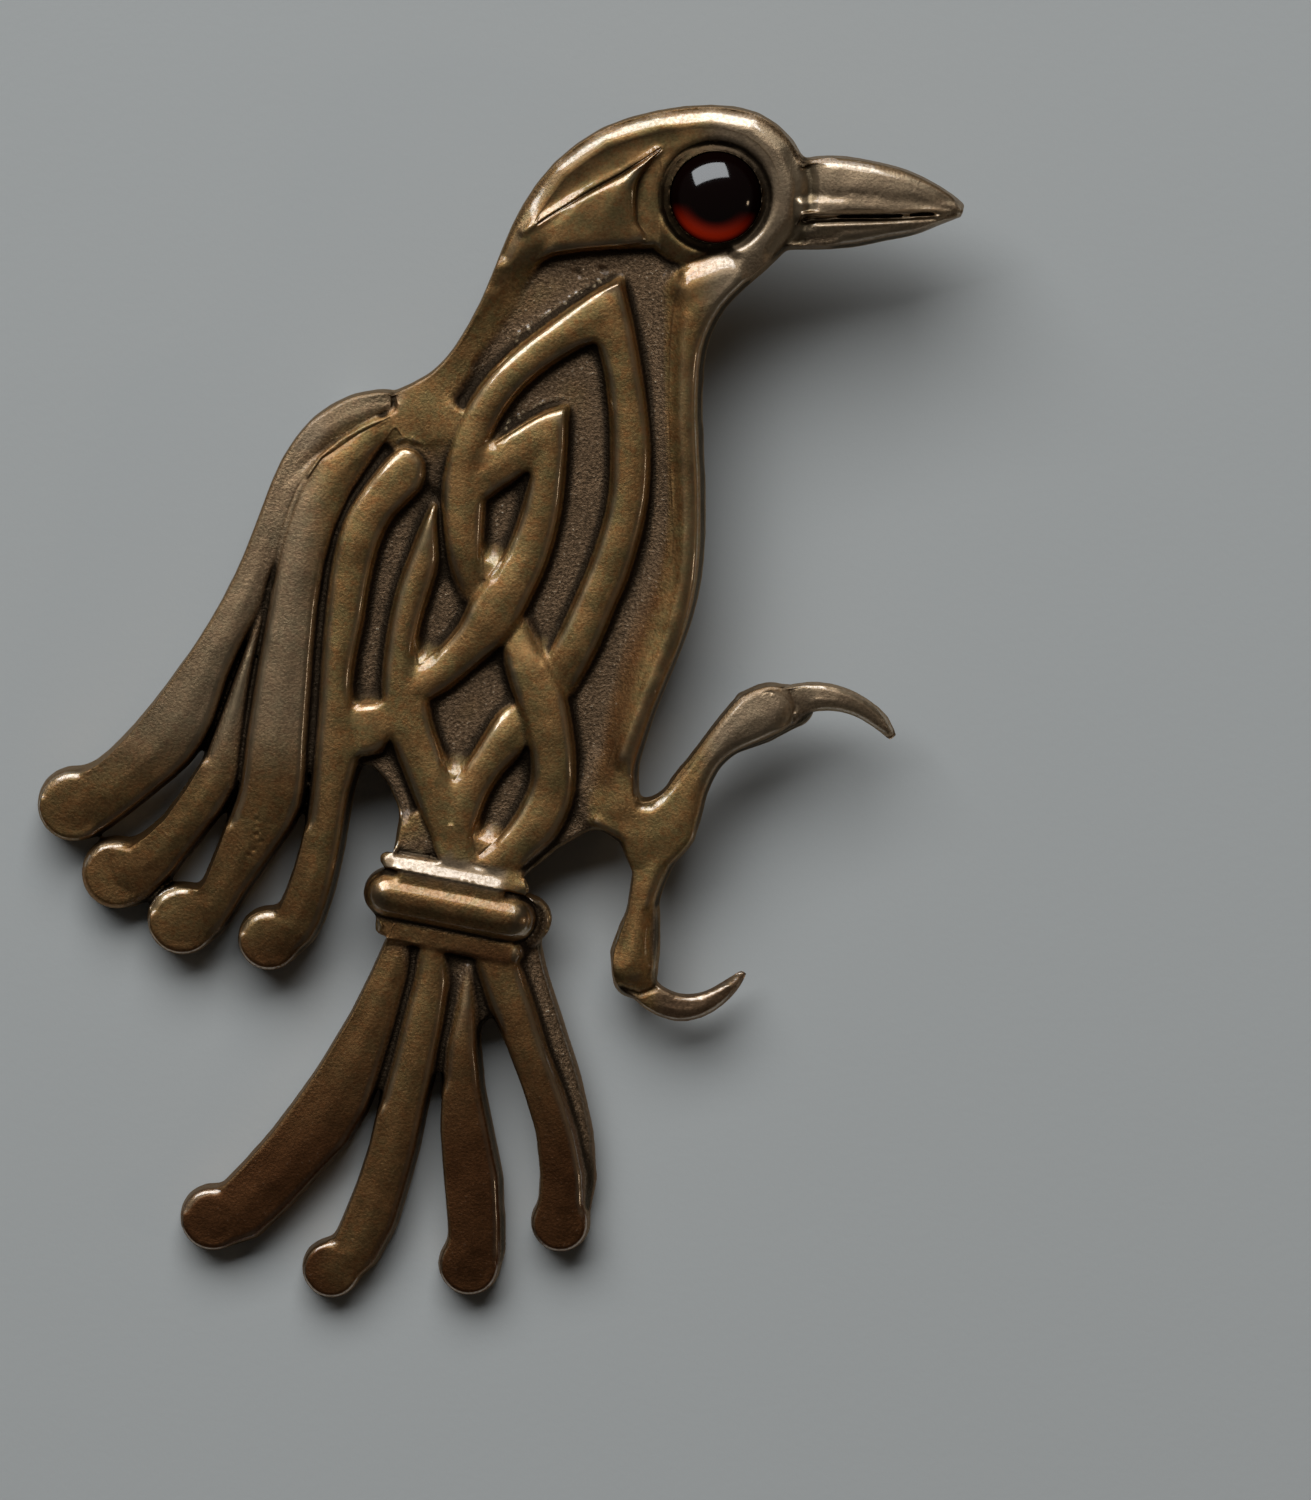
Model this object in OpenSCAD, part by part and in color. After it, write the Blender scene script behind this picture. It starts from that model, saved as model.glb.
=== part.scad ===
// Raven brooch, cast in bronze and set with a garnet eye.
//
// The bird is drawn flat, seen from the front, in millimetres: x to the beak, y to the crown, z out of the face.
// Its back is the plane z = 0. The finished brooch is then laid on its lowest points, face up.
//
// Raised work is made of strands. A strand is a table of rungs, and each rung runs straight across the strand:
//   left x, left y, right x, right y, rise
// where left and right are seen by someone who walks along the strand, and a rise of 1 is the full relief.

/* [Casting] */
// Thickness of the plate under the relief
plate_t = 1.3; // [1.1:0.1:1.6]
// Height of the relief above the plate
relief_h = 0.8; // [0.6:0.05:1]
// Height of the rounded shoulder along each strand
shoulder = 0.34; // [0.2:0.02:0.5]
// How much each wall leans outward on its way down
draft = 0.22; // [0.1:0.02:0.3]
// How far the wing tips bend down behind the plane of the back
wing_sag = 1.2; // [0.6:0.1:1.2]

/* [Eye] */
// Diameter of the cabochon
eye_d = 4.2; // [3.8:0.1:4.4]
// Height of the cabochon
eye_h = 1.7; // [1.4:0.1:2]
// Thickness of the seat's wall round the cabochon
seat_t = 0.35; // [0.25:0.05:0.5]
// Play between the cabochon and its seat
eye_play = 0.04; // [0.03:0.01:0.08]

/* [Pin back] */
// Diameter of the pin's wire
wire_d = 1; // [0.8:0.1:1.2]
// Depth of the hinge lug behind the plate
hinge_h = 3.7; // [3.5:0.1:4.4]
// Distance from the hinge to the catch
pin_span = 13; // [12:0.5:14]

/* [Hidden] */

bronze = "#8a7346";
garnet = "#5a0d10";
steel = "#8d8a84";

// The pin back's catch, pads, lug and stem
catch_h = hinge_h - 0.25;
catch_t = 0.45;
catch_w = 1.4;
pad_t = 0.5;
pad_r = 1.5;
lug_w = 1.4;
stem_past_catch = 1.4;
pin_gap = 0.04;

// Steps that a strand takes from one rung to the next, and round its rounded ends
rung_steps = 2;
end_angles = [30, 58, 85];
tip_sides = 18;
// Height of the crest over the middle of a strand
crest = 0.1;
// Width of a strand from which its walls lean in full
full_lean_width = 0.9;
// Height of the straight foot under a curled tip's wall
wall_foot = 0.2;
// The grid that every drawn point is moved onto
snap = 0.001;
// Where the strands that stand on the plate begin, inside it
root_z = 0.5;

// Middle of the eye, the top of its seat and the floor of its pocket, and the low mound round the seat
EYE = [10.1, 23.85];
eye_sides = 30;
seat_z = plate_t + relief_h * 1.3;
pocket_z = seat_z - 0.9;
mound_z = plate_t + relief_h * 0.75;
mound_r = 2.9;
mound_foot_r = 3.6;
// The cabochon's straight girdle, its dome, and the ball that the dome is cut from
girdle_h = 0.5;
dome_h = eye_h - girdle_h;
dome_r = (pow(eye_d / 2, 2) + pow(dome_h, 2)) / (2 * dome_h);

// The plate between the rims, from the nape round the head, the chest, the leg, the band and the wing: x, y
PLATE = [
    [-4.3, 14.35], [-3.0, 14.9], [-1.8, 16.3], [-0.4, 18.8], [0.7, 21.2], [1.7, 23.2], [3.2, 25.0],
    [5.1, 26.4], [7.6, 27.2], [10.0, 27.3], [12.0, 26.9], [13.0, 26.0], [13.6, 24.6], [13.5, 23.0],
    [12.4, 21.5], [10.7, 20.0], [9.3, 18.1], [8.8, 16.0], [8.8, 13.0], [8.9, 9.0], [8.7, 6.0],
    [8.0, 3.4], [7.0, 1.0], [6.2, -1.2], [5.7, -3.2], [5.9, -5.0], [5.2, -5.9],
    [4.2, -5.8], [2.6, -6.7], [1.1, -8.0], [0.2, -9.0], [-4.4, -8.2], [-5.0, -6.8], [-4.7, -5.0],
    [-5.3, -3.6], [-6.1, -2.7], [-7.6, -2.9], [-9.0, -2.9], [-10.0, -1.5],
    [-9.7, 2.5], [-10.2, 5.4], [-9.9, 8.1], [-9.0, 10.6], [-7.7, 12.3], [-6.3, 13.9], [-5.15, 14.55]
];

// The outer loop of the knot, from its peak down the left side
OUTER_LEFT = [
    [4.60, 17.00, 5.75, 20.10, 1.0],
    [3.80, 16.85, 4.50, 19.45, 1.0],
    [2.30, 15.95, 2.60, 18.15, 1.0],
    [1.15, 15.00, 1.05, 17.00, 1.0],
    [0.30, 13.95, -0.35, 15.75, 1.0],
    [-0.25, 12.90, -1.45, 14.30, 1.0],
    [-0.55, 11.80, -2.30, 12.60, 1.0],
    [-0.60, 10.20, -2.75, 10.60, 1.0],
    [-0.70, 8.60, -2.75, 8.60, 1.0],
    [-0.75, 7.20, -2.50, 7.00, 1.0],
    [-0.60, 6.20, -2.10, 5.80, 0.8],
    [-0.10, 5.40, -1.60, 4.60, 0.5]
];
// The same loop, from its peak down the right side until it dives under the last strand
OUTER_RIGHT = [
    [5.70, 20.05, 4.55, 17.02, 1.0],
    [6.22, 18.00, 4.80, 16.20, 1.0],
    [6.62, 15.90, 4.97, 15.20, 1.0],
    [6.95, 13.90, 5.12, 13.70, 1.0],
    [7.12, 12.00, 5.17, 12.00, 1.0],
    [7.00, 9.90, 5.10, 10.00, 1.0],
    [6.60, 8.00, 4.70, 8.20, 1.0],
    [6.05, 6.20, 4.10, 6.50, 1.0],
    [5.40, 4.70, 3.45, 5.00, 1.0],
    [4.60, 2.80, 2.80, 3.60, 1.0],
    [3.85, 1.40, 2.20, 2.60, 0.9],
    [3.10, 0.10, 1.60, 1.60, 0.6],
    [2.20, -1.20, 1.00, 0.70, 0.5],
    [1.35, -1.85, 0.50, 0.20, 0.75],
    [0.80, -2.40, -0.05, -0.25, 0.95],
    [0.10, -3.10, -0.70, -1.20, 1.0],
    [-0.45, -3.90, -1.30, -2.15, 1.0],
    [-0.85, -4.80, -1.95, -3.00, 1.0],
    [-1.15, -5.80, -2.60, -4.00, 1.0],
    [-1.50, -7.00, -3.20, -5.40, 1.0],
    [-1.80, -8.40, -3.40, -7.20, 1.0]
];
// The inner loop of the knot, from its peak down the left side until it meets the outer loop
INNER_LEFT = [
    [1.40, 11.00, 3.15, 14.10, 1.0],
    [1.05, 10.90, 2.30, 13.90, 1.0],
    [0.50, 10.50, 1.30, 13.40, 1.0],
    [-0.05, 10.15, 0.40, 12.85, 1.0],
    [-0.50, 9.80, -0.40, 12.40, 1.0],
    [-1.10, 9.30, -1.30, 11.90, 0.9]
];
// The same loop, from its peak down the right side and across the outer loop
INNER_RIGHT = [
    [3.15, 14.10, 1.40, 11.00, 1.0],
    [3.15, 12.60, 1.36, 10.50, 1.0],
    [3.07, 11.00, 1.20, 10.00, 1.0],
    [2.90, 9.40, 1.00, 9.30, 1.0],
    [2.60, 8.00, 0.70, 8.40, 1.0],
    [2.15, 6.60, 0.25, 7.35, 1.0],
    [1.60, 5.40, -0.35, 6.45, 1.1],
    [0.90, 4.00, -0.95, 5.65, 1.15],
    [0.20, 3.00, -1.50, 4.80, 1.15],
    [-0.60, 2.35, -1.95, 3.85, 1.1],
    [-1.50, 1.60, -2.70, 2.95, 1.0],
    [-2.40, 0.85, -3.50, 2.30, 1.0],
    [-3.30, 0.30, -4.40, 1.70, 1.0],
    [-4.20, -0.50, -5.20, 0.80, 0.9]
];
// The strand at the left of the knot, from its point down to the cross band
SIDE_STRAND = [
    [-3.00, 9.55, -3.10, 9.50, 0.8],
    [-2.85, 8.60, -3.70, 8.50, 1.0],
    [-2.80, 7.00, -4.30, 7.00, 1.0],
    [-3.15, 5.70, -4.75, 5.80, 1.0],
    [-3.55, 4.50, -5.10, 4.50, 1.0],
    [-3.85, 3.20, -5.35, 3.20, 1.0],
    [-3.80, 2.00, -5.50, 2.00, 1.0],
    [-3.35, 0.60, -5.60, 0.60, 1.0],
    [-3.20, -0.60, -5.60, -0.60, 1.0],
    [-2.85, -1.70, -5.10, -1.70, 1.0],
    [-2.45, -2.80, -4.65, -2.80, 1.0],
    [-2.00, -3.80, -4.20, -4.00, 1.0],
    [-1.60, -5.00, -3.75, -5.20, 1.0],
    [-1.20, -6.20, -3.30, -6.30, 1.0],
    [-0.90, -7.60, -3.00, -7.40, 1.0]
];
// The last strand, which comes out from under the inner loop and crosses the outer one
CROSSING_STRAND = [
    [1.30, 4.30, -0.10, 3.40, 0.6],
    [1.75, 3.10, 0.05, 2.60, 0.85],
    [2.55, 1.80, 0.30, 1.60, 1.1],
    [3.05, 0.70, 0.60, 0.60, 1.15],
    [3.30, -0.40, 0.95, -0.40, 1.15],
    [3.45, -1.50, 1.20, -1.40, 1.15],
    [3.57, -2.70, 1.40, -2.50, 1.1],
    [3.50, -4.00, 1.35, -3.60, 1.0],
    [3.05, -5.30, 0.95, -4.60, 1.0],
    [2.40, -6.30, 0.30, -5.60, 1.0],
    [1.50, -7.10, -0.55, -6.45, 1.0],
    [0.60, -8.10, -1.40, -7.20, 1.0]
];
// The small raised triangle beside the foot of the side strand
FOOT_PATCH = [
    [-3.90, -5.00, -4.10, -5.05, 0.7],
    [-3.50, -5.90, -4.70, -5.60, 0.7],
    [-2.90, -7.00, -4.83, -6.75, 0.7]
];
// The low plateau between the neck and the knot
NECK_PATCH = [
    [-1.20, 15.50, -1.70, 16.20, 0.35],
    [-1.90, 14.50, -3.20, 15.30, 0.5],
    [-2.50, 13.10, -4.40, 14.60, 0.6],
    [-3.40, 12.20, -4.90, 14.10, 0.65],
    [-4.50, 12.60, -5.10, 13.60, 0.7]
];

// The rim along the nape, the crown and the face
CROWN_RIM = [
    [-4.95, 14.70, -4.50, 13.70, 0.55],
    [-3.40, 15.45, -2.90, 14.30, 0.6],
    [-2.15, 16.70, -1.30, 16.00, 0.6],
    [-0.85, 18.95, 0.05, 18.65, 0.65],
    [0.15, 21.35, 1.10, 20.95, 0.8],
    [1.10, 23.35, 1.95, 22.85, 1.0],
    [2.60, 25.35, 3.20, 24.60, 1.1],
    [4.80, 26.95, 5.20, 26.00, 1.15],
    [7.40, 27.75, 7.60, 26.75, 1.2],
    [9.90, 28.00, 9.80, 26.90, 1.3],
    [12.00, 27.65, 11.40, 26.60, 1.4],
    [13.60, 26.40, 12.50, 25.60, 1.45],
    [14.35, 24.60, 12.90, 24.30, 1.45],
    [14.20, 22.80, 12.70, 23.00, 1.4],
    [13.00, 21.10, 11.50, 21.80, 1.35],
    [11.60, 19.85, 9.90, 21.00, 1.3]
];
// The rim from the cheek down the throat and the chest to the leg
CHEST_RIM = [
    [12.90, 21.00, 11.30, 21.90, 1.2],
    [11.60, 19.85, 9.90, 21.00, 1.3],
    [10.50, 18.75, 8.30, 19.80, 1.2],
    [9.75, 17.40, 7.90, 17.90, 1.1],
    [9.42, 15.80, 7.80, 15.90, 1.05],
    [9.37, 13.50, 7.75, 13.50, 1.0],
    [9.47, 11.00, 7.85, 11.00, 1.0],
    [9.50, 8.50, 7.95, 8.40, 1.0],
    [9.35, 6.10, 7.80, 5.80, 1.0],
    [8.85, 3.90, 7.15, 3.50, 1.0],
    [8.05, 1.80, 6.40, 1.50, 1.0],
    [7.30, 0.00, 5.70, -0.40, 1.0],
    [6.75, -1.60, 5.15, -2.00, 1.0],
    [6.35, -3.00, 4.75, -3.30, 1.0],
    [6.40, -4.50, 4.50, -4.90, 0.9]
];
// The low bank between the chest rim and the knot's recess
CHEST_BANK = [
    [9.00, 8.00, 7.10, 9.00, 0.15],
    [8.60, 5.00, 6.60, 6.00, 0.3],
    [7.60, 2.00, 5.50, 2.50, 0.35],
    [6.40, -1.00, 4.80, -0.80, 0.35],
    [6.00, -4.00, 4.30, -3.80, 0.35],
    [5.60, -5.60, 3.70, -5.40, 0.35]
];
// The brow ornament, a curved triangle, from its tip towards the nape
BROW = [
    [7.60, 26.05, 7.55, 26.15, 1.2],
    [7.00, 25.40, 6.95, 25.75, 1.25],
    [6.62, 24.70, 6.15, 25.25, 1.25],
    [6.48, 23.90, 5.30, 24.75, 1.25],
    [6.50, 23.10, 4.30, 24.20, 1.2],
    [6.60, 22.50, 3.20, 23.55, 1.15],
    [7.05, 21.75, 2.00, 22.80, 1.1],
    [5.00, 21.50, 1.10, 22.15, 1.05],
    [2.60, 21.20, 0.50, 21.60, 1.0],
    [0.90, 20.35, 0.10, 20.70, 0.9]
];
// The upper and the lower half of the beak, from the face to the tip
UPPER_BEAK = [
    [13.40, 25.10, 13.40, 22.90, 1.3],
    [14.60, 25.58, 14.60, 22.98, 1.3],
    [16.00, 25.62, 16.00, 23.08, 1.25],
    [17.60, 25.35, 17.60, 23.10, 1.15],
    [19.00, 25.00, 19.00, 23.12, 0.95],
    [20.20, 24.45, 20.20, 23.15, 0.75],
    [21.10, 23.90, 21.00, 23.05, 0.5],
    [21.70, 23.40, 21.55, 22.85, 0.3]
];
LOWER_BEAK = [
    [13.20, 22.80, 13.20, 21.45, 0.9],
    [14.80, 22.82, 14.80, 21.45, 0.95],
    [16.50, 22.85, 16.50, 21.55, 0.9],
    [18.00, 22.85, 18.00, 21.85, 0.8],
    [19.40, 22.92, 19.40, 22.10, 0.65],
    [20.60, 23.00, 20.50, 22.50, 0.45],
    [21.50, 23.10, 21.30, 22.80, 0.3]
];

// The four feathers of the wing, from the shoulder to the root of the curled tip
WING_FEATHERS = [
    [
        [-5.05, 13.75, -5.15, 14.80, 0.5],
        [-6.80, 12.75, -6.90, 14.55, 0.55],
        [-8.40, 11.70, -8.80, 13.45, 0.55],
        [-9.45, 10.10, -10.25, 11.50, 0.55],
        [-10.10, 8.30, -11.15, 9.30, 0.6],
        [-10.60, 6.40, -12.00, 7.10, 0.6],
        [-11.10, 4.80, -13.00, 5.00, 0.65],
        [-12.00, 3.10, -14.15, 3.10, 0.7],
        [-12.80, 1.30, -14.90, 2.00, 0.75],
        [-13.50, -0.80, -15.85, 0.70, 0.75],
        [-14.60, -2.60, -16.85, -0.55, 0.75],
        [-16.10, -3.95, -17.95, -1.75, 0.75],
        [-17.60, -5.15, -18.95, -2.65, 0.75],
        [-19.00, -6.15, -19.80, -3.05, 0.75],
        [-19.80, -6.42, -20.50, -3.08, 0.75]
    ],
    [
        [-10.75, 5.50, -10.85, 5.55, 0.3],
        [-11.55, 2.00, -12.25, 2.00, 0.45],
        [-12.05, -1.80, -13.70, -1.80, 0.55],
        [-12.45, -3.90, -14.15, -2.80, 0.6],
        [-14.20, -6.40, -15.90, -5.30, 0.65],
        [-16.50, -9.15, -17.55, -6.50, 0.65],
        [-17.85, -9.62, -18.45, -6.38, 0.65]
    ],
    [
        [-4.90, 13.00, -5.10, 13.70, 0.75],
        [-6.90, 10.00, -8.40, 11.70, 0.9],
        [-8.15, 6.60, -10.15, 8.00, 0.95],
        [-8.65, 2.60, -11.20, 3.10, 0.95],
        [-9.00, -1.80, -12.00, -1.50, 0.95],
        [-9.15, -3.80, -12.30, -3.80, 0.9],
        [-9.80, -5.70, -12.80, -5.30, 0.85],
        [-12.10, -9.00, -14.00, -8.25, 0.85],
        [-13.20, -10.75, -14.55, -8.62, 0.8],
        [-14.75, -11.78, -15.35, -8.53, 0.8]
    ],
    [
        [-3.80, 12.00, -4.80, 12.15, 0.9],
        [-3.35, 11.35, -5.35, 11.65, 1.0],
        [-3.60, 10.30, -6.30, 10.50, 1.05],
        [-4.90, 9.00, -7.20, 9.20, 1.05],
        [-5.60, 7.60, -7.75, 7.80, 1.05],
        [-6.05, 5.80, -8.10, 6.00, 1.05],
        [-6.30, 4.20, -8.30, 4.20, 1.05],
        [-6.65, 2.60, -8.45, 2.60, 1.05],
        [-6.85, 1.00, -8.55, 1.00, 1.05],
        [-6.70, -0.60, -8.65, -0.60, 1.05],
        [-6.50, -2.20, -8.80, -2.20, 1.0],
        [-7.00, -4.00, -8.95, -3.90, 0.95],
        [-7.30, -5.80, -9.20, -5.80, 0.9],
        [-7.65, -7.60, -9.65, -7.50, 0.9],
        [-8.10, -9.30, -10.25, -9.10, 0.85],
        [-8.90, -11.10, -10.65, -9.68, 0.8],
        [-10.50, -12.42, -11.40, -9.68, 0.8]
    ]
];
SAG_WAY = [0.75, 0.66];
sag_from = 6;
sag_run = 14;
// The bridge between the inmost feather and the knot, under the dimple
WING_BRIDGE = [
    [-5.05, 0.24, -7.35, 0.07, 0.88],
    [-4.85, -0.95, -7.40, -1.10, 0.97],
    [-5.55, -2.05, -7.45, -2.40, 0.93]
];
// The curled tips of the wing: centre x, centre y, radius, rise
WING_TIPS = [
    [-20.15, -4.75, 1.70, 0.75],
    [-18.15, -8.00, 1.65, 0.65],
    [-15.05, -10.15, 1.65, 0.8],
    [-10.95, -11.05, 1.45, 0.8]
];

// The four feathers of the tail, from the cross band to the root of the curled tip
TAIL_FEATHERS = [
    [
        [-4.00, -10.60, -5.30, -10.80, 0.35],
        [-4.35, -12.80, -6.10, -12.60, 0.45],
        [-4.95, -15.00, -7.10, -14.60, 0.5],
        [-5.60, -17.00, -8.30, -16.60, 0.5],
        [-6.30, -19.10, -8.80, -17.40, 0.5],
        [-7.30, -20.80, -9.80, -18.80, 0.5],
        [-8.60, -22.15, -10.90, -20.25, 0.5],
        [-10.00, -23.70, -12.10, -21.60, 0.5],
        [-11.60, -25.20, -13.20, -22.75, 0.5],
        [-13.25, -25.72, -14.05, -22.78, 0.5]
    ],
    [
        [-2.60, -10.80, -3.90, -10.80, 0.6],
        [-2.40, -13.00, -4.15, -12.80, 0.6],
        [-2.70, -15.00, -4.70, -14.80, 0.65],
        [-3.10, -17.00, -5.15, -16.60, 0.65],
        [-3.55, -19.00, -5.70, -18.60, 0.6],
        [-3.95, -21.00, -6.20, -20.80, 0.55],
        [-4.45, -22.80, -6.80, -22.60, 0.5],
        [-5.00, -24.60, -7.45, -24.20, 0.45],
        [-5.95, -26.40, -7.90, -25.20, 0.45],
        [-7.70, -27.95, -8.50, -25.38, 0.45]
    ],
    [
        [-1.20, -12.20, -1.80, -12.20, 0.1],
        [-1.10, -14.20, -2.25, -14.20, 0.35],
        [-1.05, -16.20, -2.70, -16.20, 0.5],
        [-0.85, -18.20, -2.80, -18.20, 0.5],
        [-0.45, -20.20, -2.85, -20.20, 0.5],
        [-0.05, -22.20, -2.72, -22.20, 0.45],
        [0.05, -24.20, -2.55, -24.20, 0.45],
        [0.05, -26.00, -2.50, -25.20, 0.4],
        [-0.40, -27.25, -2.70, -25.70, 0.4]
    ],
    [
        [0.70, -10.90, -1.60, -10.80, 0.55],
        [0.95, -12.30, -1.25, -12.20, 0.6],
        [1.60, -14.20, -0.60, -14.10, 0.65],
        [2.20, -16.20, 0.30, -16.20, 0.65],
        [2.95, -18.20, 1.05, -18.20, 0.6],
        [3.55, -20.20, 1.65, -20.20, 0.5],
        [3.95, -22.20, 1.85, -22.20, 0.45],
        [3.98, -23.80, 1.75, -23.40, 0.4],
        [3.70, -25.15, 1.80, -23.80, 0.4]
    ]
];
// The thin ledge under the right side of the last tail feather
TAIL_LEDGE = [
    [1.70, -10.60, -1.50, -10.60, -0.3],
    [2.10, -12.50, 0.00, -12.50, -0.3],
    [2.90, -15.00, 1.00, -15.00, -0.3],
    [3.70, -17.50, 2.00, -17.50, -0.35],
    [4.30, -20.20, 2.60, -20.20, -0.4],
    [4.45, -22.50, 2.80, -22.50, -0.45],
    [4.00, -24.60, 2.60, -24.00, -0.5]
];
// The web that joins the roots of the tail feathers
TAIL_WEB = [
    [1.30, -10.00, -5.00, -9.60, -0.1],
    [1.40, -11.50, -5.50, -11.60, -0.1],
    [0.60, -13.60, -6.20, -13.60, -0.15],
    [-1.20, -15.40, -6.40, -15.40, -0.2],
    [-2.60, -17.20, -6.00, -18.20, -0.25]
];
// The curled tips of the tail: centre x, centre y, radius, rise
TAIL_TIPS = [
    [-13.65, -24.25, 1.50, 0.5],
    [-8.05, -26.65, 1.35, 0.45],
    [-1.55, -26.45, 1.42, 0.4],
    [2.75, -24.45, 1.35, 0.4]
];

// The cross band: the ends of its roll, how far the two collars lie from its middle, and how high each one stands
BAND_FROM = [-5.3, -8.8];
BAND_TO = [0.5, -9.95];
BAND_WAY = unit(BAND_TO - BAND_FROM);
band_r = 1.2;
band_sides = 14;
roll_z = top_of(1.6) - band_r;
collar_r = 0.42;
collar_gap = 1.62;
collar_longer = 0.35;
lower_collar_z = top_of(0.7) - collar_r;
upper_collar_z = top_of(1.1) - collar_r;
// The core under the roll, which reaches past it at the right as a small nub
core_h = roll_z - 0.13;
nub = 0.7;

// The leg, the upper toe and the lower toe
THIGH = [
    [5.60, -3.30, 4.20, -5.60, 0.85],
    [6.30, -4.45, 5.60, -6.40, 0.85],
    [7.20, -4.35, 6.25, -7.90, 0.8],
    [7.95, -3.70, 8.00, -7.50, 0.8],
    [8.60, -2.85, 9.15, -6.20, 0.8]
];
UPPER_TOE = [
    [7.55, -4.50, 8.35, -6.85, 0.72],
    [8.00, -3.55, 9.20, -5.80, 0.8],
    [8.75, -2.65, 9.60, -4.20, 0.85],
    [9.50, -1.65, 10.25, -2.85, 0.9],
    [10.30, -0.60, 11.10, -2.15, 0.95],
    [11.20, 0.40, 12.20, -1.65, 1.0],
    [12.15, 0.90, 13.15, -1.20, 1.05]
];
LOWER_TOE = [
    [8.30, -7.00, 6.55, -6.75, 0.72],
    [7.70, -8.20, 6.20, -8.20, 0.8],
    [7.30, -9.40, 6.00, -9.50, 0.8],
    [7.15, -10.80, 5.65, -10.80, 0.85],
    [7.12, -12.40, 5.25, -12.20, 0.9]
];
// The low pads that the toes lie on, which carry the claws
UPPER_PAD = [
    [11.00, 0.50, 11.30, -2.20, -0.3],
    [12.40, 1.05, 12.60, -1.75, -0.3],
    [13.60, 0.95, 13.80, -1.10, -0.3]
];
LOWER_PAD = [
    [7.45, -9.60, 5.70, -10.00, -0.3],
    [7.45, -11.40, 5.10, -11.60, -0.3],
    [7.30, -12.90, 5.20, -12.80, -0.3]
];
// The claws, horns of round section: centre x, centre y, height above the back, radius
UPPER_CLAW = [
    [12.60, -0.10, 0.85, 0.75],
    [13.70, 0.30, 0.90, 0.78],
    [14.90, 0.45, 0.90, 0.74],
    [16.00, 0.30, 0.85, 0.64],
    [17.00, -0.15, 0.70, 0.54],
    [17.85, -0.80, 0.55, 0.44],
    [18.40, -1.55, 0.40, 0.22]
];
LOWER_CLAW = [
    [6.30, -12.90, 0.75, 0.70],
    [7.10, -13.75, 0.70, 0.74],
    [8.20, -14.25, 0.65, 0.72],
    [9.25, -14.18, 0.60, 0.64],
    [10.15, -13.75, 0.50, 0.52],
    [10.90, -13.15, 0.40, 0.38],
    [11.42, -12.60, 0.30, 0.18]
];

// The brooch lies on a tail tip and on two round feet of its pin back: the hinge's barrel and the catch
TAIL_REST = [TAIL_TIPS[1].x, TAIL_TIPS[1].y - TAIL_TIPS[1].z - draft / 2, 0];
HINGE = [6, 12.4];
CATCH = [HINGE.x - pin_span, HINGE.y];
barrel_r = 0.9;
catch_r = catch_h / 2;
BARREL_MIDDLE = [HINGE.x, HINGE.y, -hinge_h + barrel_r];
CATCH_MIDDLE = [CATCH.x, CATCH.y, -catch_h + catch_r];
first_normal = normal_of(BARREL_MIDDLE - [0, 0, barrel_r], CATCH_MIDDLE - [0, 0, catch_r]);
floor_normal = normal_of(BARREL_MIDDLE - first_normal * barrel_r, CATCH_MIDDLE - first_normal * catch_r);
floor_z = floor_normal * TAIL_REST;
tilt_axis = cross(floor_normal, [0, 0, 1]);
tilt_angle = acos(floor_normal.z);
// The middle of the brooch's footprint, which becomes the origin
FOOT_CENTRE = [-0.114, 0.045];

function unit(v) = v / norm(v);
// Upward normal of the plane through the tail tip and two feet
function normal_of(foot, other_foot) = unit(cross(foot - TAIL_REST, other_foot - TAIL_REST));
function row_at(rows, i) = rows[max(0, min(len(rows) - 1, i))];

// A smooth curve through every row of a table, at s = row number
function along(rows, s) =
    let (
        i = min(floor(s), len(rows) - 2),
        t = s - i,
        before = row_at(rows, i - 1),
        from = row_at(rows, i),
        to = row_at(rows, i + 1),
        after = row_at(rows, i + 2)
    )
    0.5 * (2 * from + (to - before) * t + (2 * before - 5 * from + 4 * to - after) * t * t
        + (3 * from - before - 3 * to + after) * t * t * t);

function smooth(rows, steps) = [for (k = [0 : (len(rows) - 1) * steps]) along(rows, k / steps)];

function ring_row(rows, i) = rows[(i + len(rows)) % len(rows)];

// Height of a row's surface above the back
function top_of(rise) = plate_t + relief_h * rise;

// How far the wing bends down at a point, on a curve that starts at the shoulder and ends at the tips
function sag(p, depth) = depth * pow(max(0, -[p.x, p.y] * SAG_WAY - sag_from) / sag_run, 2);

// The stations of a strand: left end, right end, top, and the way that each wall leans, less where it is narrow
function station(row) =
    let (
        left = [row[0], row[1]],
        right = [row[2], row[3]],
        lean = unit(right - left) * min(1, norm(right - left) / full_lean_width)
    )
    [left, right, top_of(row[4]), -lean, lean];

// The stations of a half-round end beyond a rung, where ahead is 1 or -1 along the strand
function round_end(row, ahead) =
    let (
        left = [row[0], row[1]],
        right = [row[2], row[3]],
        centre = (left + right) / 2,
        half = (right - left) / 2,
        over = unit(half),
        forward = [over.y, -over.x] * -ahead * norm(half)
    )
    [for (a = end_angles) [
        centre + forward * sin(a) - half * cos(a),
        centre + forward * sin(a) + half * cos(a),
        top_of(row[4]) - shoulder * (1 - cos(a)) * 0.6,
        unit(forward) * sin(a) - over * cos(a),
        unit(forward) * sin(a) + over * cos(a)
    ]];

function reversed(list) = [for (i = [len(list) - 1 : -1 : 0]) list[i]];

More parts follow.
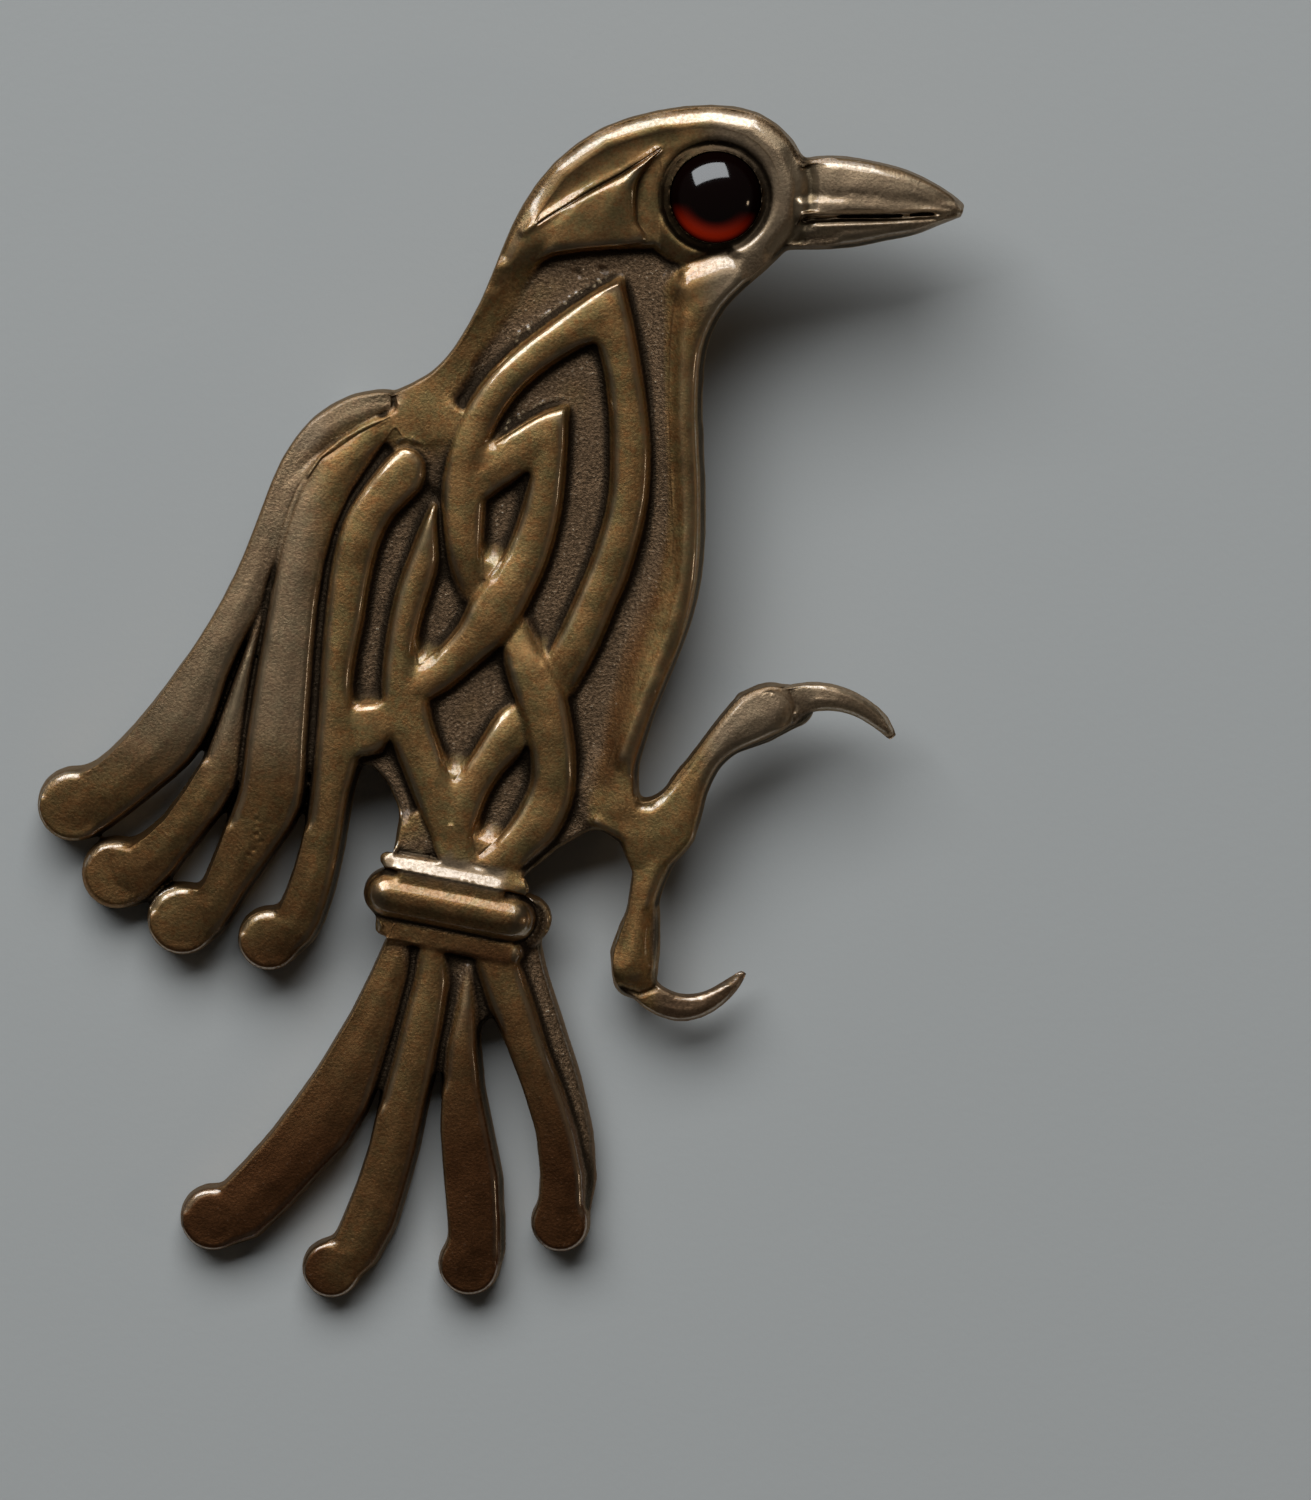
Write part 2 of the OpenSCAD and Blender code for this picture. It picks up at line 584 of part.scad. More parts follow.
// The points round one station, from the foot of the left wall over the crest to the foot of the right one
function section(s, root, depth) =
    let (
        lean = draft / 2 * (s[2] - root) / plate_t,
        left = s[0] - s[3] * lean,
        right = s[1] - s[4] * lean,
        inset = unit(right - left) * min(shoulder * 0.7, norm(right - left) * 0.3)
    )
    [
        for (p = [
            [each s[0] + s[3] * lean, root],
            [each left, s[2] - shoulder],
            [each left + inset, s[2] - crest],
            [each (left + right) / 2, s[2]],
            [each right - inset, s[2] - crest],
            [each right, s[2] - shoulder],
            [each s[1] + s[4] * lean, root]
        ])
            p - [0, 0, sag(p, depth)]
    ];

// Points moved onto a fine grid, so that faces that should lie in one plane do
function snapped(points) = [for (p = points) [for (v = p) round(v / snap) * snap]];

// Triangles that close a cross-section, in a zigzag from its first point to its far side
function cap(count) = [
    for (k = [0 : count - 3])
        let (a = floor(k / 2), b = count - 1 - a)
        k % 2 == 0 ? [a, a + 1, b] : [a + 1, b - 1, b]
];

// A closed skin over cross-sections that all have the same number of points
module skin(sections) {
    count = len(sections[0]);
    last = len(sections) - 1;
    sides = [
        for (i = [0 : last - 1])
            for (k = [0 : count - 1])
                let (n = (k + 1) % count)
                each [
                    [i * count + k, (i + 1) * count + k, (i + 1) * count + n],
                    [i * count + k, (i + 1) * count + n, i * count + n]
                ]
    ];
    first_end = cap(count);
    last_end = [for (t = first_end) [for (k = [t[0], t[2], t[1]]) last * count + k]];
    polyhedron(points = [for (s = sections) each snapped(s)], faces = concat(first_end, sides, last_end));
}

// A raised strand with walls, shoulders and a crest
module strand(rungs, root = 0, round_start = false, round_finish = false, steps = rung_steps, depth = 0) {
    body = [for (row = smooth(rungs, steps)) station(row)];
    start = round_start ? reversed(round_end(rungs[0], -1)) : [];
    finish = round_finish ? round_end(rungs[len(rungs) - 1], 1) : [];
    skin([for (s = concat(start, body, finish)) section(s, root, depth)]);
}

// A curved horn of round section
module horn(rows) {
    stops = smooth(rows, 2);
    skin([
        for (i = [0 : len(stops) - 1])
            let (
                s = stops[i],
                way = row_at(stops, i + 1) - row_at(stops, i - 1),
                side = unit([way.y, -way.x])
            )
            [for (a = [0 : 45 : 315]) [each [s.x, s.y] + side * s[3] * cos(a), s.z - s[3] * sin(a)]]
    ]);
}

module ground_plate() {
    rim = PLATE;
    count = len(rim);
    foot = [
        for (i = [0 : count - 1])
            let (way = ring_row(rim, i + 1) - ring_row(rim, i - 1))
            rim[i] + unit([-way.y, way.x]) * draft / 2
    ];
    points = concat([for (p = foot) [each p, 0]], [for (p = rim) [each p, plate_t]]);
    sides = [for (i = [0 : count - 1]) [i, (i + 1) % count, count + (i + 1) % count, count + i]];
    lower = [for (i = [0 : count - 1]) count - 1 - i];
    upper = [for (i = [0 : count - 1]) count + i];
    polyhedron(points = snapped(points), faces = concat([lower], sides, [upper]));
}

// A curled feather tip, like a low button with a rounded edge
module curled_tip(tip, depth) {
    r = tip[2];
    top = top_of(tip[3]);
    translate([tip[0], tip[1], -sag(tip, depth)])
        hull() {
            cylinder(h = wall_foot, r = r + draft / 2, $fn = tip_sides);
            cylinder(h = top - shoulder * 0.9, r = r, $fn = tip_sides);
            cylinder(h = top - crest * 0.8, r = r - shoulder * 0.8, $fn = tip_sides);
        }
}

module feathers(tables, tips, steps, depth) {
    for (table = tables)
        strand(table, steps = steps, depth = depth);
    for (tip = tips)
        curled_tip(tip, depth);
}

module shoulder_knot() {
    strand(OUTER_LEFT, root_z);
    strand(OUTER_RIGHT, root_z);
    strand(INNER_LEFT, root_z);
    strand(INNER_RIGHT, root_z);
    strand(SIDE_STRAND, root_z);
    strand(CROSSING_STRAND, root_z);
    strand(FOOT_PATCH, root_z, steps = 1);
    strand(NECK_PATCH, root_z);
    strand(CHEST_BANK, root_z, steps = 1);
}

module head() {
    strand(CROWN_RIM);
    strand(CHEST_RIM);
    strand(BROW, root_z);
    translate([EYE.x, EYE.y, root_z])
        cylinder(h = mound_z - root_z, r1 = mound_foot_r, r2 = mound_r, $fn = eye_sides);
    translate([EYE.x, EYE.y, 0])
        cylinder(h = seat_z, r = eye_d / 2 + seat_t, $fn = eye_sides);
}

module beak() {
    strand(UPPER_BEAK);
    strand(LOWER_BEAK);
}

// A rounded bar along the cross band, at a distance to one side of its middle line
module band_roll(aside, r, height, longer) {
    offside = [BAND_WAY.y, -BAND_WAY.x] * aside;
    hull()
        for (end = [BAND_FROM - BAND_WAY * longer, BAND_TO + BAND_WAY * longer])
            translate([each end + offside, height])
                sphere(r = r, $fn = band_sides);
}

module cross_band() {
    band_roll(0, band_r, roll_z, 0);
    band_roll(collar_gap, collar_r, lower_collar_z, collar_longer);
    band_roll(-collar_gap, collar_r, upper_collar_z, collar_longer);
    hull()
        for (end = [BAND_FROM, BAND_TO + BAND_WAY * nub])
            translate([each end, 0])
                cylinder(h = core_h, r = band_r, $fn = band_sides);
}

module leg() {
    strand(THIGH);
    strand(UPPER_TOE, 0, false, true);
    strand(LOWER_TOE, 0, false, true);
    strand(UPPER_PAD, 0, false, true, steps = 1);
    strand(LOWER_PAD, 0, false, true, steps = 1);
    horn(UPPER_CLAW);
    horn(LOWER_CLAW);
}

// Lays the brooch on the floor, with its middle over the origin
module laid_down() {
    translate([-FOOT_CENTRE.x, -FOOT_CENTRE.y, -floor_z])
        rotate(a = tilt_angle, v = tilt_axis)
            children();
}

module raven_casting() {
    color(bronze)
        laid_down()
            difference() {
                union() {
                    ground_plate();
                    shoulder_knot();
                    head();
                    beak();
                    feathers(WING_FEATHERS, WING_TIPS, rung_steps, wing_sag);
                    strand(WING_BRIDGE, root_z);
                    strand(TAIL_WEB, steps = 1);
                    strand(TAIL_LEDGE, steps = 1);
                    feathers(TAIL_FEATHERS, TAIL_TIPS, 1, 0);
                    cross_band();
                    leg();
                }
                translate([EYE.x, EYE.y, pocket_z])
                    cylinder(h = eye_h, r = eye_d / 2 + eye_play, $fn = eye_sides);
            }
}

module eye_cabochon() {
    color(garnet)
        laid_down()
            translate([EYE.x, EYE.y, pocket_z + eye_play])
                intersection() {
                    cylinder(h = eye_h, d = eye_d, $fn = 64);
                    translate([0, 0, eye_h - dome_r])
                        sphere(r = dome_r, $fn = 96);
                }
}

// The fastening behind the shoulder: a hinge lug and its barrel, the stem, and an open hook that holds it
module pin_back() {
    stem_from = BARREL_MIDDLE;
    stem_to = [CATCH.x - stem_past_catch, CATCH.y, -catch_h + catch_t + wire_d / 2];
    way = stem_to - stem_from;
    color(steel)
        laid_down() {
            for (foot = [HINGE, CATCH])
                translate([foot.x, foot.y, -pad_t - pin_gap])
                    cylinder(h = pad_t, r = pad_r);
            translate([HINGE.x - lug_w / 2, HINGE.y - barrel_r, stem_from.z])
                cube([lug_w, 2 * barrel_r, -stem_from.z - pin_gap - pad_t / 2]);
            translate(stem_from)
                sphere(r = barrel_r, $fn = 48);
            translate(stem_from)
                rotate(a = acos(way.z / norm(way)), v = cross([0, 0, 1], way))
                    cylinder(h = norm(way), d = wire_d, $fn = 32);
            translate([CATCH.x + catch_w / 2, CATCH.y, -catch_h + catch_r])
                rotate([0, -90, 0])
                    rotate_extrude(angle = 270, $fn = 48)
                        translate([catch_r - catch_t, 0])
                            square([catch_t, catch_w]);
        }
}

raven_casting();
eye_cabochon();
pin_back();
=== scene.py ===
# %% [markdown]
# # A raven brooch, cast in bronze
# The brooch is about 56 mm long: a raven seen from the side, with a knot for a shoulder, a garnet eye, and a pin
# behind. The imported model gives its solids in metres, laid on the floor. This lesson keeps their shape and adds
# what a casting shows up close: soft edges, small chased lines, dark hollows and rubbed crests. Part of that dark
# and bright is painted shade and painted highlight in the colour.

# %% The imported model
import itertools
import math

import bpy
import numpy as np
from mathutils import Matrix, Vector
from mathutils.bvhtree import BVHTree


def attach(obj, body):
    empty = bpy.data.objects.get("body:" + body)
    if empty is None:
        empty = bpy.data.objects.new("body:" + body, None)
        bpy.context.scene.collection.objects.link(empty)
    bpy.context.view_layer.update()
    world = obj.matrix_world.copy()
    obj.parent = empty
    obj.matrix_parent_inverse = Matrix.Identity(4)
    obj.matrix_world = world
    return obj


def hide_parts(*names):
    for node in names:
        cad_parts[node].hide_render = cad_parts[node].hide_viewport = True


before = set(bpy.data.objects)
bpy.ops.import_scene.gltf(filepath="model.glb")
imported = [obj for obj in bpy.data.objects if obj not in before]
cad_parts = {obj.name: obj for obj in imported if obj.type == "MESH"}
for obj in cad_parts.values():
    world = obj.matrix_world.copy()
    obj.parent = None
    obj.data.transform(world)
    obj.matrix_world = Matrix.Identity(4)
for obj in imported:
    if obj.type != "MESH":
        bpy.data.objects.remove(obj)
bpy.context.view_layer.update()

MM = 0.001
print("nodes:", sorted(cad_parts))

# %% [markdown]
# ## From the floor back to the drawing board
# The bird was drawn flat, with x to the beak, y to the crown and z out of its face, and then laid on the floor on
# its pin and one tail tip. Lines are easier to place on the flat drawing, so the mesh is turned back to it, worked
# there in millimetres, and laid down again at the end.

# %% The way between drawing and floor
# The floor as the drawing sees it: its upward way, and a point on it
FLOOR_NORMAL = np.array([0.0189201, 0.0845138, 0.996243])
FOOT_CENTRE = np.array([-0.114, 0.045])
FLOOR_Z = -2.52799

TILT_AXIS = np.array([FLOOR_NORMAL[1], -FLOOR_NORMAL[0], 0.0])
TILT_AXIS /= np.linalg.norm(TILT_AXIS)
TILT = math.acos(FLOOR_NORMAL[2])
SPIN = np.array([
    [0, -TILT_AXIS[2], TILT_AXIS[1]],
    [TILT_AXIS[2], 0, -TILT_AXIS[0]],
    [-TILT_AXIS[1], TILT_AXIS[0], 0],
])
LAY = np.eye(3) + math.sin(TILT) * SPIN + (1 - math.cos(TILT)) * SPIN @ SPIN
LAID_AT = np.array([-FOOT_CENTRE[0], -FOOT_CENTRE[1], -FLOOR_Z])


def laid_down(points):
    """Points of the drawing, in mm, as points on the floor, in metres."""
    return (points @ LAY.T + LAID_AT) * MM


def on_drawing(points):
    """Points on the floor, in metres, as points of the drawing, in mm."""
    return (points / MM - LAID_AT) @ LAY


print("tilt on the floor:", round(math.degrees(TILT), 2), "degrees")

# %% Reading and writing a mesh's points
def as_rows(values, key):
    flat = np.empty(len(values) * 3, np.float32)
    values.foreach_get(key, flat)
    return flat.reshape(-1, 3).astype(float)


def points_of(mesh):
    return as_rows(mesh.vertices, "co")


def normals_of(mesh):
    return as_rows(mesh.vertex_normals, "vector")


def move_points(mesh, points):
    mesh.vertices.foreach_set("co", np.asarray(points, np.float32).ravel())
    mesh.update()


def keep_value(mesh, name, values):
    """Stores one number at each point, which a material can read."""
    attribute = mesh.attributes.new(name, "FLOAT", "POINT")
    attribute.data.foreach_set("value", np.asarray(values, np.float32))


# %% New pieces, and a piece as its modifiers leave it
def new_piece(name, mesh):
    piece = bpy.data.objects.new(name, mesh)
    bpy.context.scene.collection.objects.link(piece)
    return piece


def settled(piece):
    """The piece's new mesh, as its modifiers leave it. The modifiers go."""
    shown = piece.evaluated_get(bpy.context.evaluated_depsgraph_get())
    mesh = bpy.data.meshes.new_from_object(shown)
    piece.modifiers.clear()
    piece.data = mesh
    return mesh


def triangles_of(mesh):
    return sum(len(face.vertices) - 2 for face in mesh.polygons)

# %% [markdown]
# ## The casting
# A real brooch like this is carved in wax, moulded and poured, so no edge of it is sharp. A voxel remesh gives the
# solid an even skin of small faces, and a light smoothing rounds its edges as wax and polishing do. A bevel
# would round only some of the edges and leave the flat facets of the drawing between them.

# %% An even, softened skin over the casting
WELD_REACH = 0.0005
SKIN_STEP = 0.09
SOFTENING = 0.5
SOFTENING_ROUNDS = 2

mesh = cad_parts["raven_casting"].data.copy()
move_points(mesh, on_drawing(points_of(mesh)))
casting = new_piece("raven_relief", mesh)
weld = casting.modifiers.new("weld", "WELD")
weld.merge_threshold = WELD_REACH
remesh = casting.modifiers.new("skin", "REMESH")
remesh.mode = "VOXEL"
remesh.voxel_size = SKIN_STEP
soften = casting.modifiers.new("soften", "SMOOTH")
soften.factor = SOFTENING
soften.iterations = SOFTENING_ROUNDS
mesh = settled(casting)
print("casting:", len(mesh.vertices), "points,", len(mesh.polygons), "faces")

# %% [markdown]
# ## Reading the relief
# The face of the bird is low relief: seen from above, each place has one height. Rays dropped on the skin turn it
# into a map of heights, and on a map it is easy to blur, fill and carve. Later the map also tells the patina where
# a hollow lies below its surroundings.

# %% A map of heights
MAP_STEP = 0.075
MAP_FROM = np.array([-24.0, -30.0])
MAP_TO = np.array([24.0, 30.0])
RAYS_FROM = 20

columns, rows = np.ceil((MAP_TO - MAP_FROM) / MAP_STEP).astype(int)
map_x, map_y = np.meshgrid(
    MAP_FROM[0] + MAP_STEP * np.arange(columns),
    MAP_FROM[1] + MAP_STEP * np.arange(rows),
)
places = np.stack([map_x.ravel(), map_y.ravel()], axis=1)
tree = BVHTree.FromPolygons(
    [tuple(p) for p in points_of(mesh)], [tuple(f.vertices) for f in mesh.polygons]
)
cast_heights = np.zeros(len(places))
on_metal = np.zeros(len(places))
down = Vector((0, 0, -1))
for i, (x, y) in enumerate(places):
    hit = tree.ray_cast(Vector((x, y, RAYS_FROM)), down)[0]
    if hit:
        cast_heights[i] = hit.z
        on_metal[i] = 1.0
cast_heights = cast_heights.reshape(rows, columns)
on_metal = on_metal.reshape(rows, columns)
print("height map:", columns, "x", rows, "highest", round(cast_heights.max(), 2), "mm")

# %% Blurring the map and reading it at a point
BELL_CUT = 2.5
LEAST_METAL = 0.02


def blurred(field, radius):
    """The field with each place mixed with its neighbours, over a bell of this radius in mm."""
    reach = int(math.ceil(BELL_CUT * radius / MAP_STEP))
    bell = np.exp(-0.5 * (np.arange(-reach, reach + 1) * MAP_STEP / radius) ** 2)
    bell /= bell.sum()
    for axis in (0, 1):
        field = sum(w * np.roll(field, k - reach, axis) for k, w in enumerate(bell))
    return field


def blurred_metal(field, radius):
    """The same over the metal alone, so that the floor beside it doesn't pull the edges down."""
    return blurred(field * on_metal, radius) / np.maximum(blurred(on_metal, radius), LEAST_METAL)


def read_map(field, points):
    """The field's value at each point, mixed from the four nearest places."""
    place = (points[:, :2] - MAP_FROM) / MAP_STEP
    cell = np.clip(np.floor(place).astype(int), 0, (columns - 2, rows - 2))
    t = np.clip(place - cell, 0, 1)
    x, y = cell[:, 0], cell[:, 1]
    lower = field[y, x] * (1 - t[:, 0]) + field[y, x + 1] * t[:, 0]
    upper = field[y + 1, x] * (1 - t[:, 0]) + field[y + 1, x + 1] * t[:, 0]
    return lower * (1 - t[:, 1]) + upper * t[:, 1]

# %% Soft steps
def eased(value, low, high):
    """0 below low, 1 above high, and smooth between."""
    t = np.clip((value - low) / (high - low), 0, 1)
    return t * t * (3 - 2 * t)


def falling(value, low, high):
    """1 below low, 0 above high, and smooth between."""
    return 1 - eased(value, low, high)


def between(value, rise, fall):
    """1 between two pairs of limits, with a soft step over each pair."""
    return eased(value, *rise) * falling(value, *fall)


def blend(field, other, share):
    """The field, moved this share of the way to another."""
    return field + (other - field) * share

# %% [markdown]
# ## Sculpting the map
# On the real brooch the grounds are scooped: they curve up into the strands round them, and the strands are softly
# rounded. Two blurs give both. A narrow one rounds the strands, a wide one, set a little lower, is the scooped
# ground, and the higher of the two is kept at each place.

# %% Rounded strands and scooped grounds
ROUNDING = 0.085
SCOOP = 0.42
SCOOP_DROP = 0.17
SCOOP_MEETING = 0.06


def higher(a, b, soft):
    """The greater of two fields, with a rounded meeting line."""
    gap = np.clip(0.5 + (a - b) / (2 * soft), 0, 1)
    return b + (a - b) * gap + soft * gap * (1 - gap)


def grown(field):
    """Each place as high as the highest place beside it, which widens what stands up by one step."""
    for axis in (0, 1):
        field = np.maximum(field, np.maximum(np.roll(field, 1, axis), np.roll(field, -1, axis)))
    return field


strands = blurred_metal(grown(cast_heights), ROUNDING)
relief = higher(strands, blurred_metal(cast_heights, SCOOP) - SCOOP_DROP, SCOOP_MEETING)
print("grounds and strands reach", round(float(relief.max()), 2), "mm")

# %% Places along and across the cross band
BAND_FROM, BAND_TO = np.array([-5.3, -8.8]), np.array([0.5, -9.95])
BAND_LENGTH = float(np.linalg.norm(BAND_TO - BAND_FROM))
BAND_R = 1.2

band_way = (BAND_TO - BAND_FROM) / BAND_LENGTH
band_u = (map_x - BAND_FROM[0]) * band_way[0] + (map_y - BAND_FROM[1]) * band_way[1]
band_v = (map_y - BAND_FROM[1]) * band_way[0] - (map_x - BAND_FROM[0]) * band_way[1]
from_roll = np.hypot(band_u - np.clip(band_u, 0, BAND_LENGTH), band_v)
on_roll = falling(from_roll, BAND_R, BAND_R + 0.1)

# %% [markdown]
# Towards the window the real metal stands full right up to its rim, which shines as one thin line. The solid's
# sides slope too early for that, so there the height of the core is carried out to the rim.

# %% Full tops up to the rim, on the side that faces the window
WINDOW_WAY = (-0.5, 0.86)
WINDOW_SIDE = (-0.2, 0.35)
RIM, WIDE_RIM, BULK = 0.22, 0.45, 0.8
RIM_STEPS = 7
CORE_REACH = 0.3

edge_map = blurred(on_metal, RIM)
wide_edge = blurred(on_metal, WIDE_RIM)
bulk = blurred(on_metal, BULK)
slope_y, slope_x = np.gradient(wide_edge)
steepness = np.hypot(slope_x, slope_y) + 1e-9
facing_window = -(WINDOW_WAY[0] * slope_x + WINDOW_WAY[1] * slope_y) / steepness
full_rim = eased(facing_window, *WINDOW_SIDE) * falling(wide_edge, 0.90, 0.98) * on_metal
full_rim = full_rim * eased(bulk, 0.28, 0.36) * eased(from_roll, 1.5, 1.9)

core = eased(edge_map, 0.93, 0.99) * on_metal
core_near = blurred(core, CORE_REACH)
carried_out = blurred(strands * core, CORE_REACH) / np.maximum(core_near, 1e-4)
widened = strands
for _ in range(RIM_STEPS):
    widened = grown(widened)
rim_height = blend(widened, carried_out, eased(core_near, 0.005, 0.05))
relief = blend(relief, rim_height, full_rim)
print("rim filled over", round(float(full_rim.sum()) * MAP_STEP ** 2, 1), "mm2")

# %% Paths and outlines on the map
FILL_MEETING = 0.08


def distance_to_path(points, path):
    nearest = np.full(len(points), np.inf)
    for a, b in zip(path[:-1], path[1:]):
        a, b = np.array(a, float), np.array(b, float)
        way = b - a
        t = np.clip((points - a) @ way / (way @ way), 0, 1)
        nearest = np.minimum(nearest, np.linalg.norm(points - a - t[:, None] * way, axis=1))
    return nearest


def map_distance(path):
    """How far each place of the map lies from a path, in mm."""
    return distance_to_path(places, path).reshape(rows, columns)


def inside(points, outline):
    """How far each point lies inside a closed outline, negative outside, in mm."""
    x, y = points[:, 0], points[:, 1]
    crossings = np.zeros(len(points), int)
    for (ax, ay), (bx, by) in zip(outline, outline[1:] + outline[:1]):
        if ay != by:
            span = (y >= min(ay, by)) & (y < max(ay, by))
            crossings += span & (x < ax + (y - ay) / (by - ay) * (bx - ax))
    away = distance_to_path(points, outline + outline[:1])
    return np.where(crossings % 2 == 1, away, -away)


def covered(*outlines, soft):
    """1 inside these outlines and 0 outside, with a soft edge."""
    return sum(eased(inside(places, outline), -soft, soft).reshape(rows, columns) for outline in outlines)


def spread(field, outline, height, soft):
    """Moves the field to a height inside an outline. The height may be a field."""
    return blend(field, height, covered(outline, soft=soft))


def at_least(field, outline, height, soft):
    """Fills hollows inside an outline up to a height."""
    return spread(field, outline, higher(field, height, FILL_MEETING), soft)


def smoothed(field, outline, radius, soft):
    """Blurs the field inside an outline."""
    return spread(field, outline, blurred_metal(field, radius), soft)

# %% [markdown]
# ## Neck, shoulder and chest
# The neck flows into the shoulder without a ridge, and the chest slopes softly to its edge. The solid has small
# steps where its strands meet there. Filling and blurring inside an outline closes them, as a thumb does on wax.

# %% Outlines from the neck to the chest
PLATEAU = [
    (-5.2, 13.5), (-5.15, 12.7), (-4.6, 12.35), (-3.9, 12.25), (-3.2, 12.0), (-2.6, 12.2), (-2.4, 13.2),
    (-3.0, 14.3), (-4.6, 14.4),
]
FUNNEL = [
    (-5.2, 13.2), (-4.9, 12.3), (-3.6, 12.2), (-2.9, 11.4), (-2.95, 10.3), (-2.5, 10.2), (-2.1, 12.3),
    (-1.5, 13.8), (-2.6, 14.6), (-4.4, 14.3),
]
APRON = [
    (-5.5, 13.4), (-5.4, 12.5), (-5.1, 12.1), (-4.3, 11.3), (-3.6, 10.6), (-2.95, 10.2), (-2.4, 10.2),
    (-2.0, 11.6), (-2.0, 13.2), (-3.0, 14.2), (-4.6, 14.3),
]
NECK = [
    (-4.6, 14.9), (-3.2, 15.6), (-2.0, 16.9), (-0.6, 19.2), (0.3, 21.0), (1.4, 20.6), (0.8, 18.8),
    (-0.2, 17.3), (-1.4, 15.9), (-2.3, 14.6), (-2.9, 13.2), (-3.6, 12.6), (-4.4, 12.8), (-4.7, 13.6),
]
CHEST_SLOPE = [
    (8.9, 19.3), (8.5, 17.9), (8.35, 15.9), (8.3, 13.5), (8.4, 11.0), (8.5, 8.4), (8.3, 5.8), (7.7, 3.5),
    (6.9, 1.5), (6.2, -0.4), (5.6, -2.0), (5.2, -3.6), (4.2, -3.6), (4.3, -2.0), (4.8, -0.4), (5.5, 1.5),
    (6.2, 3.5), (6.9, 5.8), (7.15, 8.4), (7.2, 11.0), (7.15, 13.5), (7.1, 15.9), (7.1, 17.9), (7.5, 19.8),
]

# %% The neck, the shoulder and the chest run on without a ridge or a ditch
NECK_HEIGHT = 1.8
SLOPE_LENGTH = 2.5


def sloping(fall, from_y):
    """The neck's height, which falls by this much a millimetre below a line across the drawing."""
    return NECK_HEIGHT - fall * np.clip(from_y - map_y, 0, SLOPE_LENGTH)


relief = at_least(relief, PLATEAU, NECK_HEIGHT, soft=0.35)
relief = at_least(relief, FUNNEL, sloping(fall=0.2, from_y=12.6), soft=0.25)
relief = at_least(relief, APRON, sloping(fall=0.12, from_y=12.9), soft=0.3)
relief = smoothed(relief, NECK, radius=0.6, soft=0.3)
relief = smoothed(relief, CHEST_SLOPE, radius=0.45, soft=0.25)

# %% The first groove closes at the shoulder, and the fork above the leg is round
FIRST_GROOVE = [(-10.6, 5.8), (-10.05, 8.0), (-9.56, 10.0), (-8.43, 11.19), (-6.98, 12.18), (-5.7, 13.0)]
GROOVE_FLOOR = 1.82
CROTCH = [
    (4.4, -2.2), (5.9, -2.7), (6.9, -4.5), (8.0, -4.7), (8.0, -5.6), (6.5, -5.8), (5.0, -5.6), (3.8, -5.0),
    (3.6, -3.8),
]

closed = falling(map_distance(FIRST_GROOVE), 0.35, 0.7) * eased(map_y, 5.2, 8.6) * on_metal
relief = blend(relief, higher(relief, GROOVE_FLOOR, FILL_MEETING), closed)
relief = blend(relief, blurred_metal(relief, 0.3), closed)
relief = smoothed(relief, CROTCH, radius=0.6, soft=0.5)
print("groove closed over", round(float(closed.sum()) * MAP_STEP ** 2, 1), "mm2")

# %% The lower end of each ground curves up to the strand that closes it
# Middle of the end, way into the ground, half width, height there
SCOOPS = [
    ((-0.45, 6.85), (0.25, 0.97), 0.50, 1.86),
    ((-3.65, 2.25), (0.30, 0.95), 0.60, 1.86),
    ((-6.35, -0.25), (0.05, 1.00), 0.60, 1.86),
    ((-2.25, -3.05), (0.15, 0.99), 0.60, 1.86),
    ((-0.75, -6.25), (0.30, 0.95), 0.60, 1.86),
    ((1.45, 2.60), (0.30, 0.95), 0.60, 1.86),
    ((-0.45, 12.15), (0.60, 0.80), 0.35, 1.82),
]
SCOOP_RISE = 0.62
SCOOP_LENGTH = 1.25
DISH = 0.1
END_MEETING = 0.05

scooped = np.zeros_like(relief)
for end, way, half_width, height in SCOOPS:
    dx, dy = map_x - end[0], map_y - end[1]
    into = dx * way[0] + dy * way[1]
    beside = (dx * way[1] - dy * way[0]) / half_width
    here = falling(np.abs(beside), 1.2, 1.8) * between(into, (-1.0, -0.8), (1.2, 1.6))
    far = 1 - (1 - np.clip(into / SCOOP_LENGTH, 0, 1)) ** 2
    bowl = height - SCOOP_RISE * far + DISH * beside ** 2 * far
    relief = blend(relief, higher(relief, bowl, END_MEETING), here)
    scooped = np.maximum(scooped, here * falling(into, 0.6, 1.2) * falling(np.abs(beside), 0.9, 1.3))

relief = blend(relief, blurred_metal(relief, 0.16), scooped)

# %% [markdown]
# ## The head
# The head is one smooth, polished form, with the brow as a shallow step on it and the cheek as a small bulge
# under the eye. It is filled to one rising height first, and the crown, the cheek and the stone's seat follow.

# %% Outlines on the head
HEAD = [
    (-1.0, 18.3), (0.3, 20.9), (1.6, 23.4), (3.2, 25.3), (5.2, 26.5), (7.6, 27.2), (9.8, 27.3), (11.6, 26.9),
    (12.9, 25.9), (13.4, 24.3), (13.2, 22.9), (12.2, 21.7), (10.4, 20.9), (8.6, 20.7), (7.2, 21.5),
    (5.0, 21.6), (2.6, 21.3), (0.7, 20.5),
]
FACE = [
    (10.5, 27.0), (12.3, 26.3), (13.4, 24.6), (13.2, 22.9), (12.2, 21.7), (10.6, 21.0), (9.6, 21.3),
    (12.0, 22.4), (12.7, 24.0), (12.0, 25.6),
]
CROWN = [
    (0.1, 21.3), (1.1, 23.35), (2.6, 25.35), (4.8, 26.95), (7.4, 27.75), (9.9, 28.0), (12.0, 27.65),
    (13.6, 26.4), (14.35, 24.6), (14.2, 22.8), (13.0, 21.1),
]
CHEEK = [
    (7.9, 19.6), (8.4, 20.5), (9.4, 21.1), (10.6, 21.4), (11.2, 21.0), (10.9, 19.9), (10.0, 18.9),
    (8.9, 18.9),
]
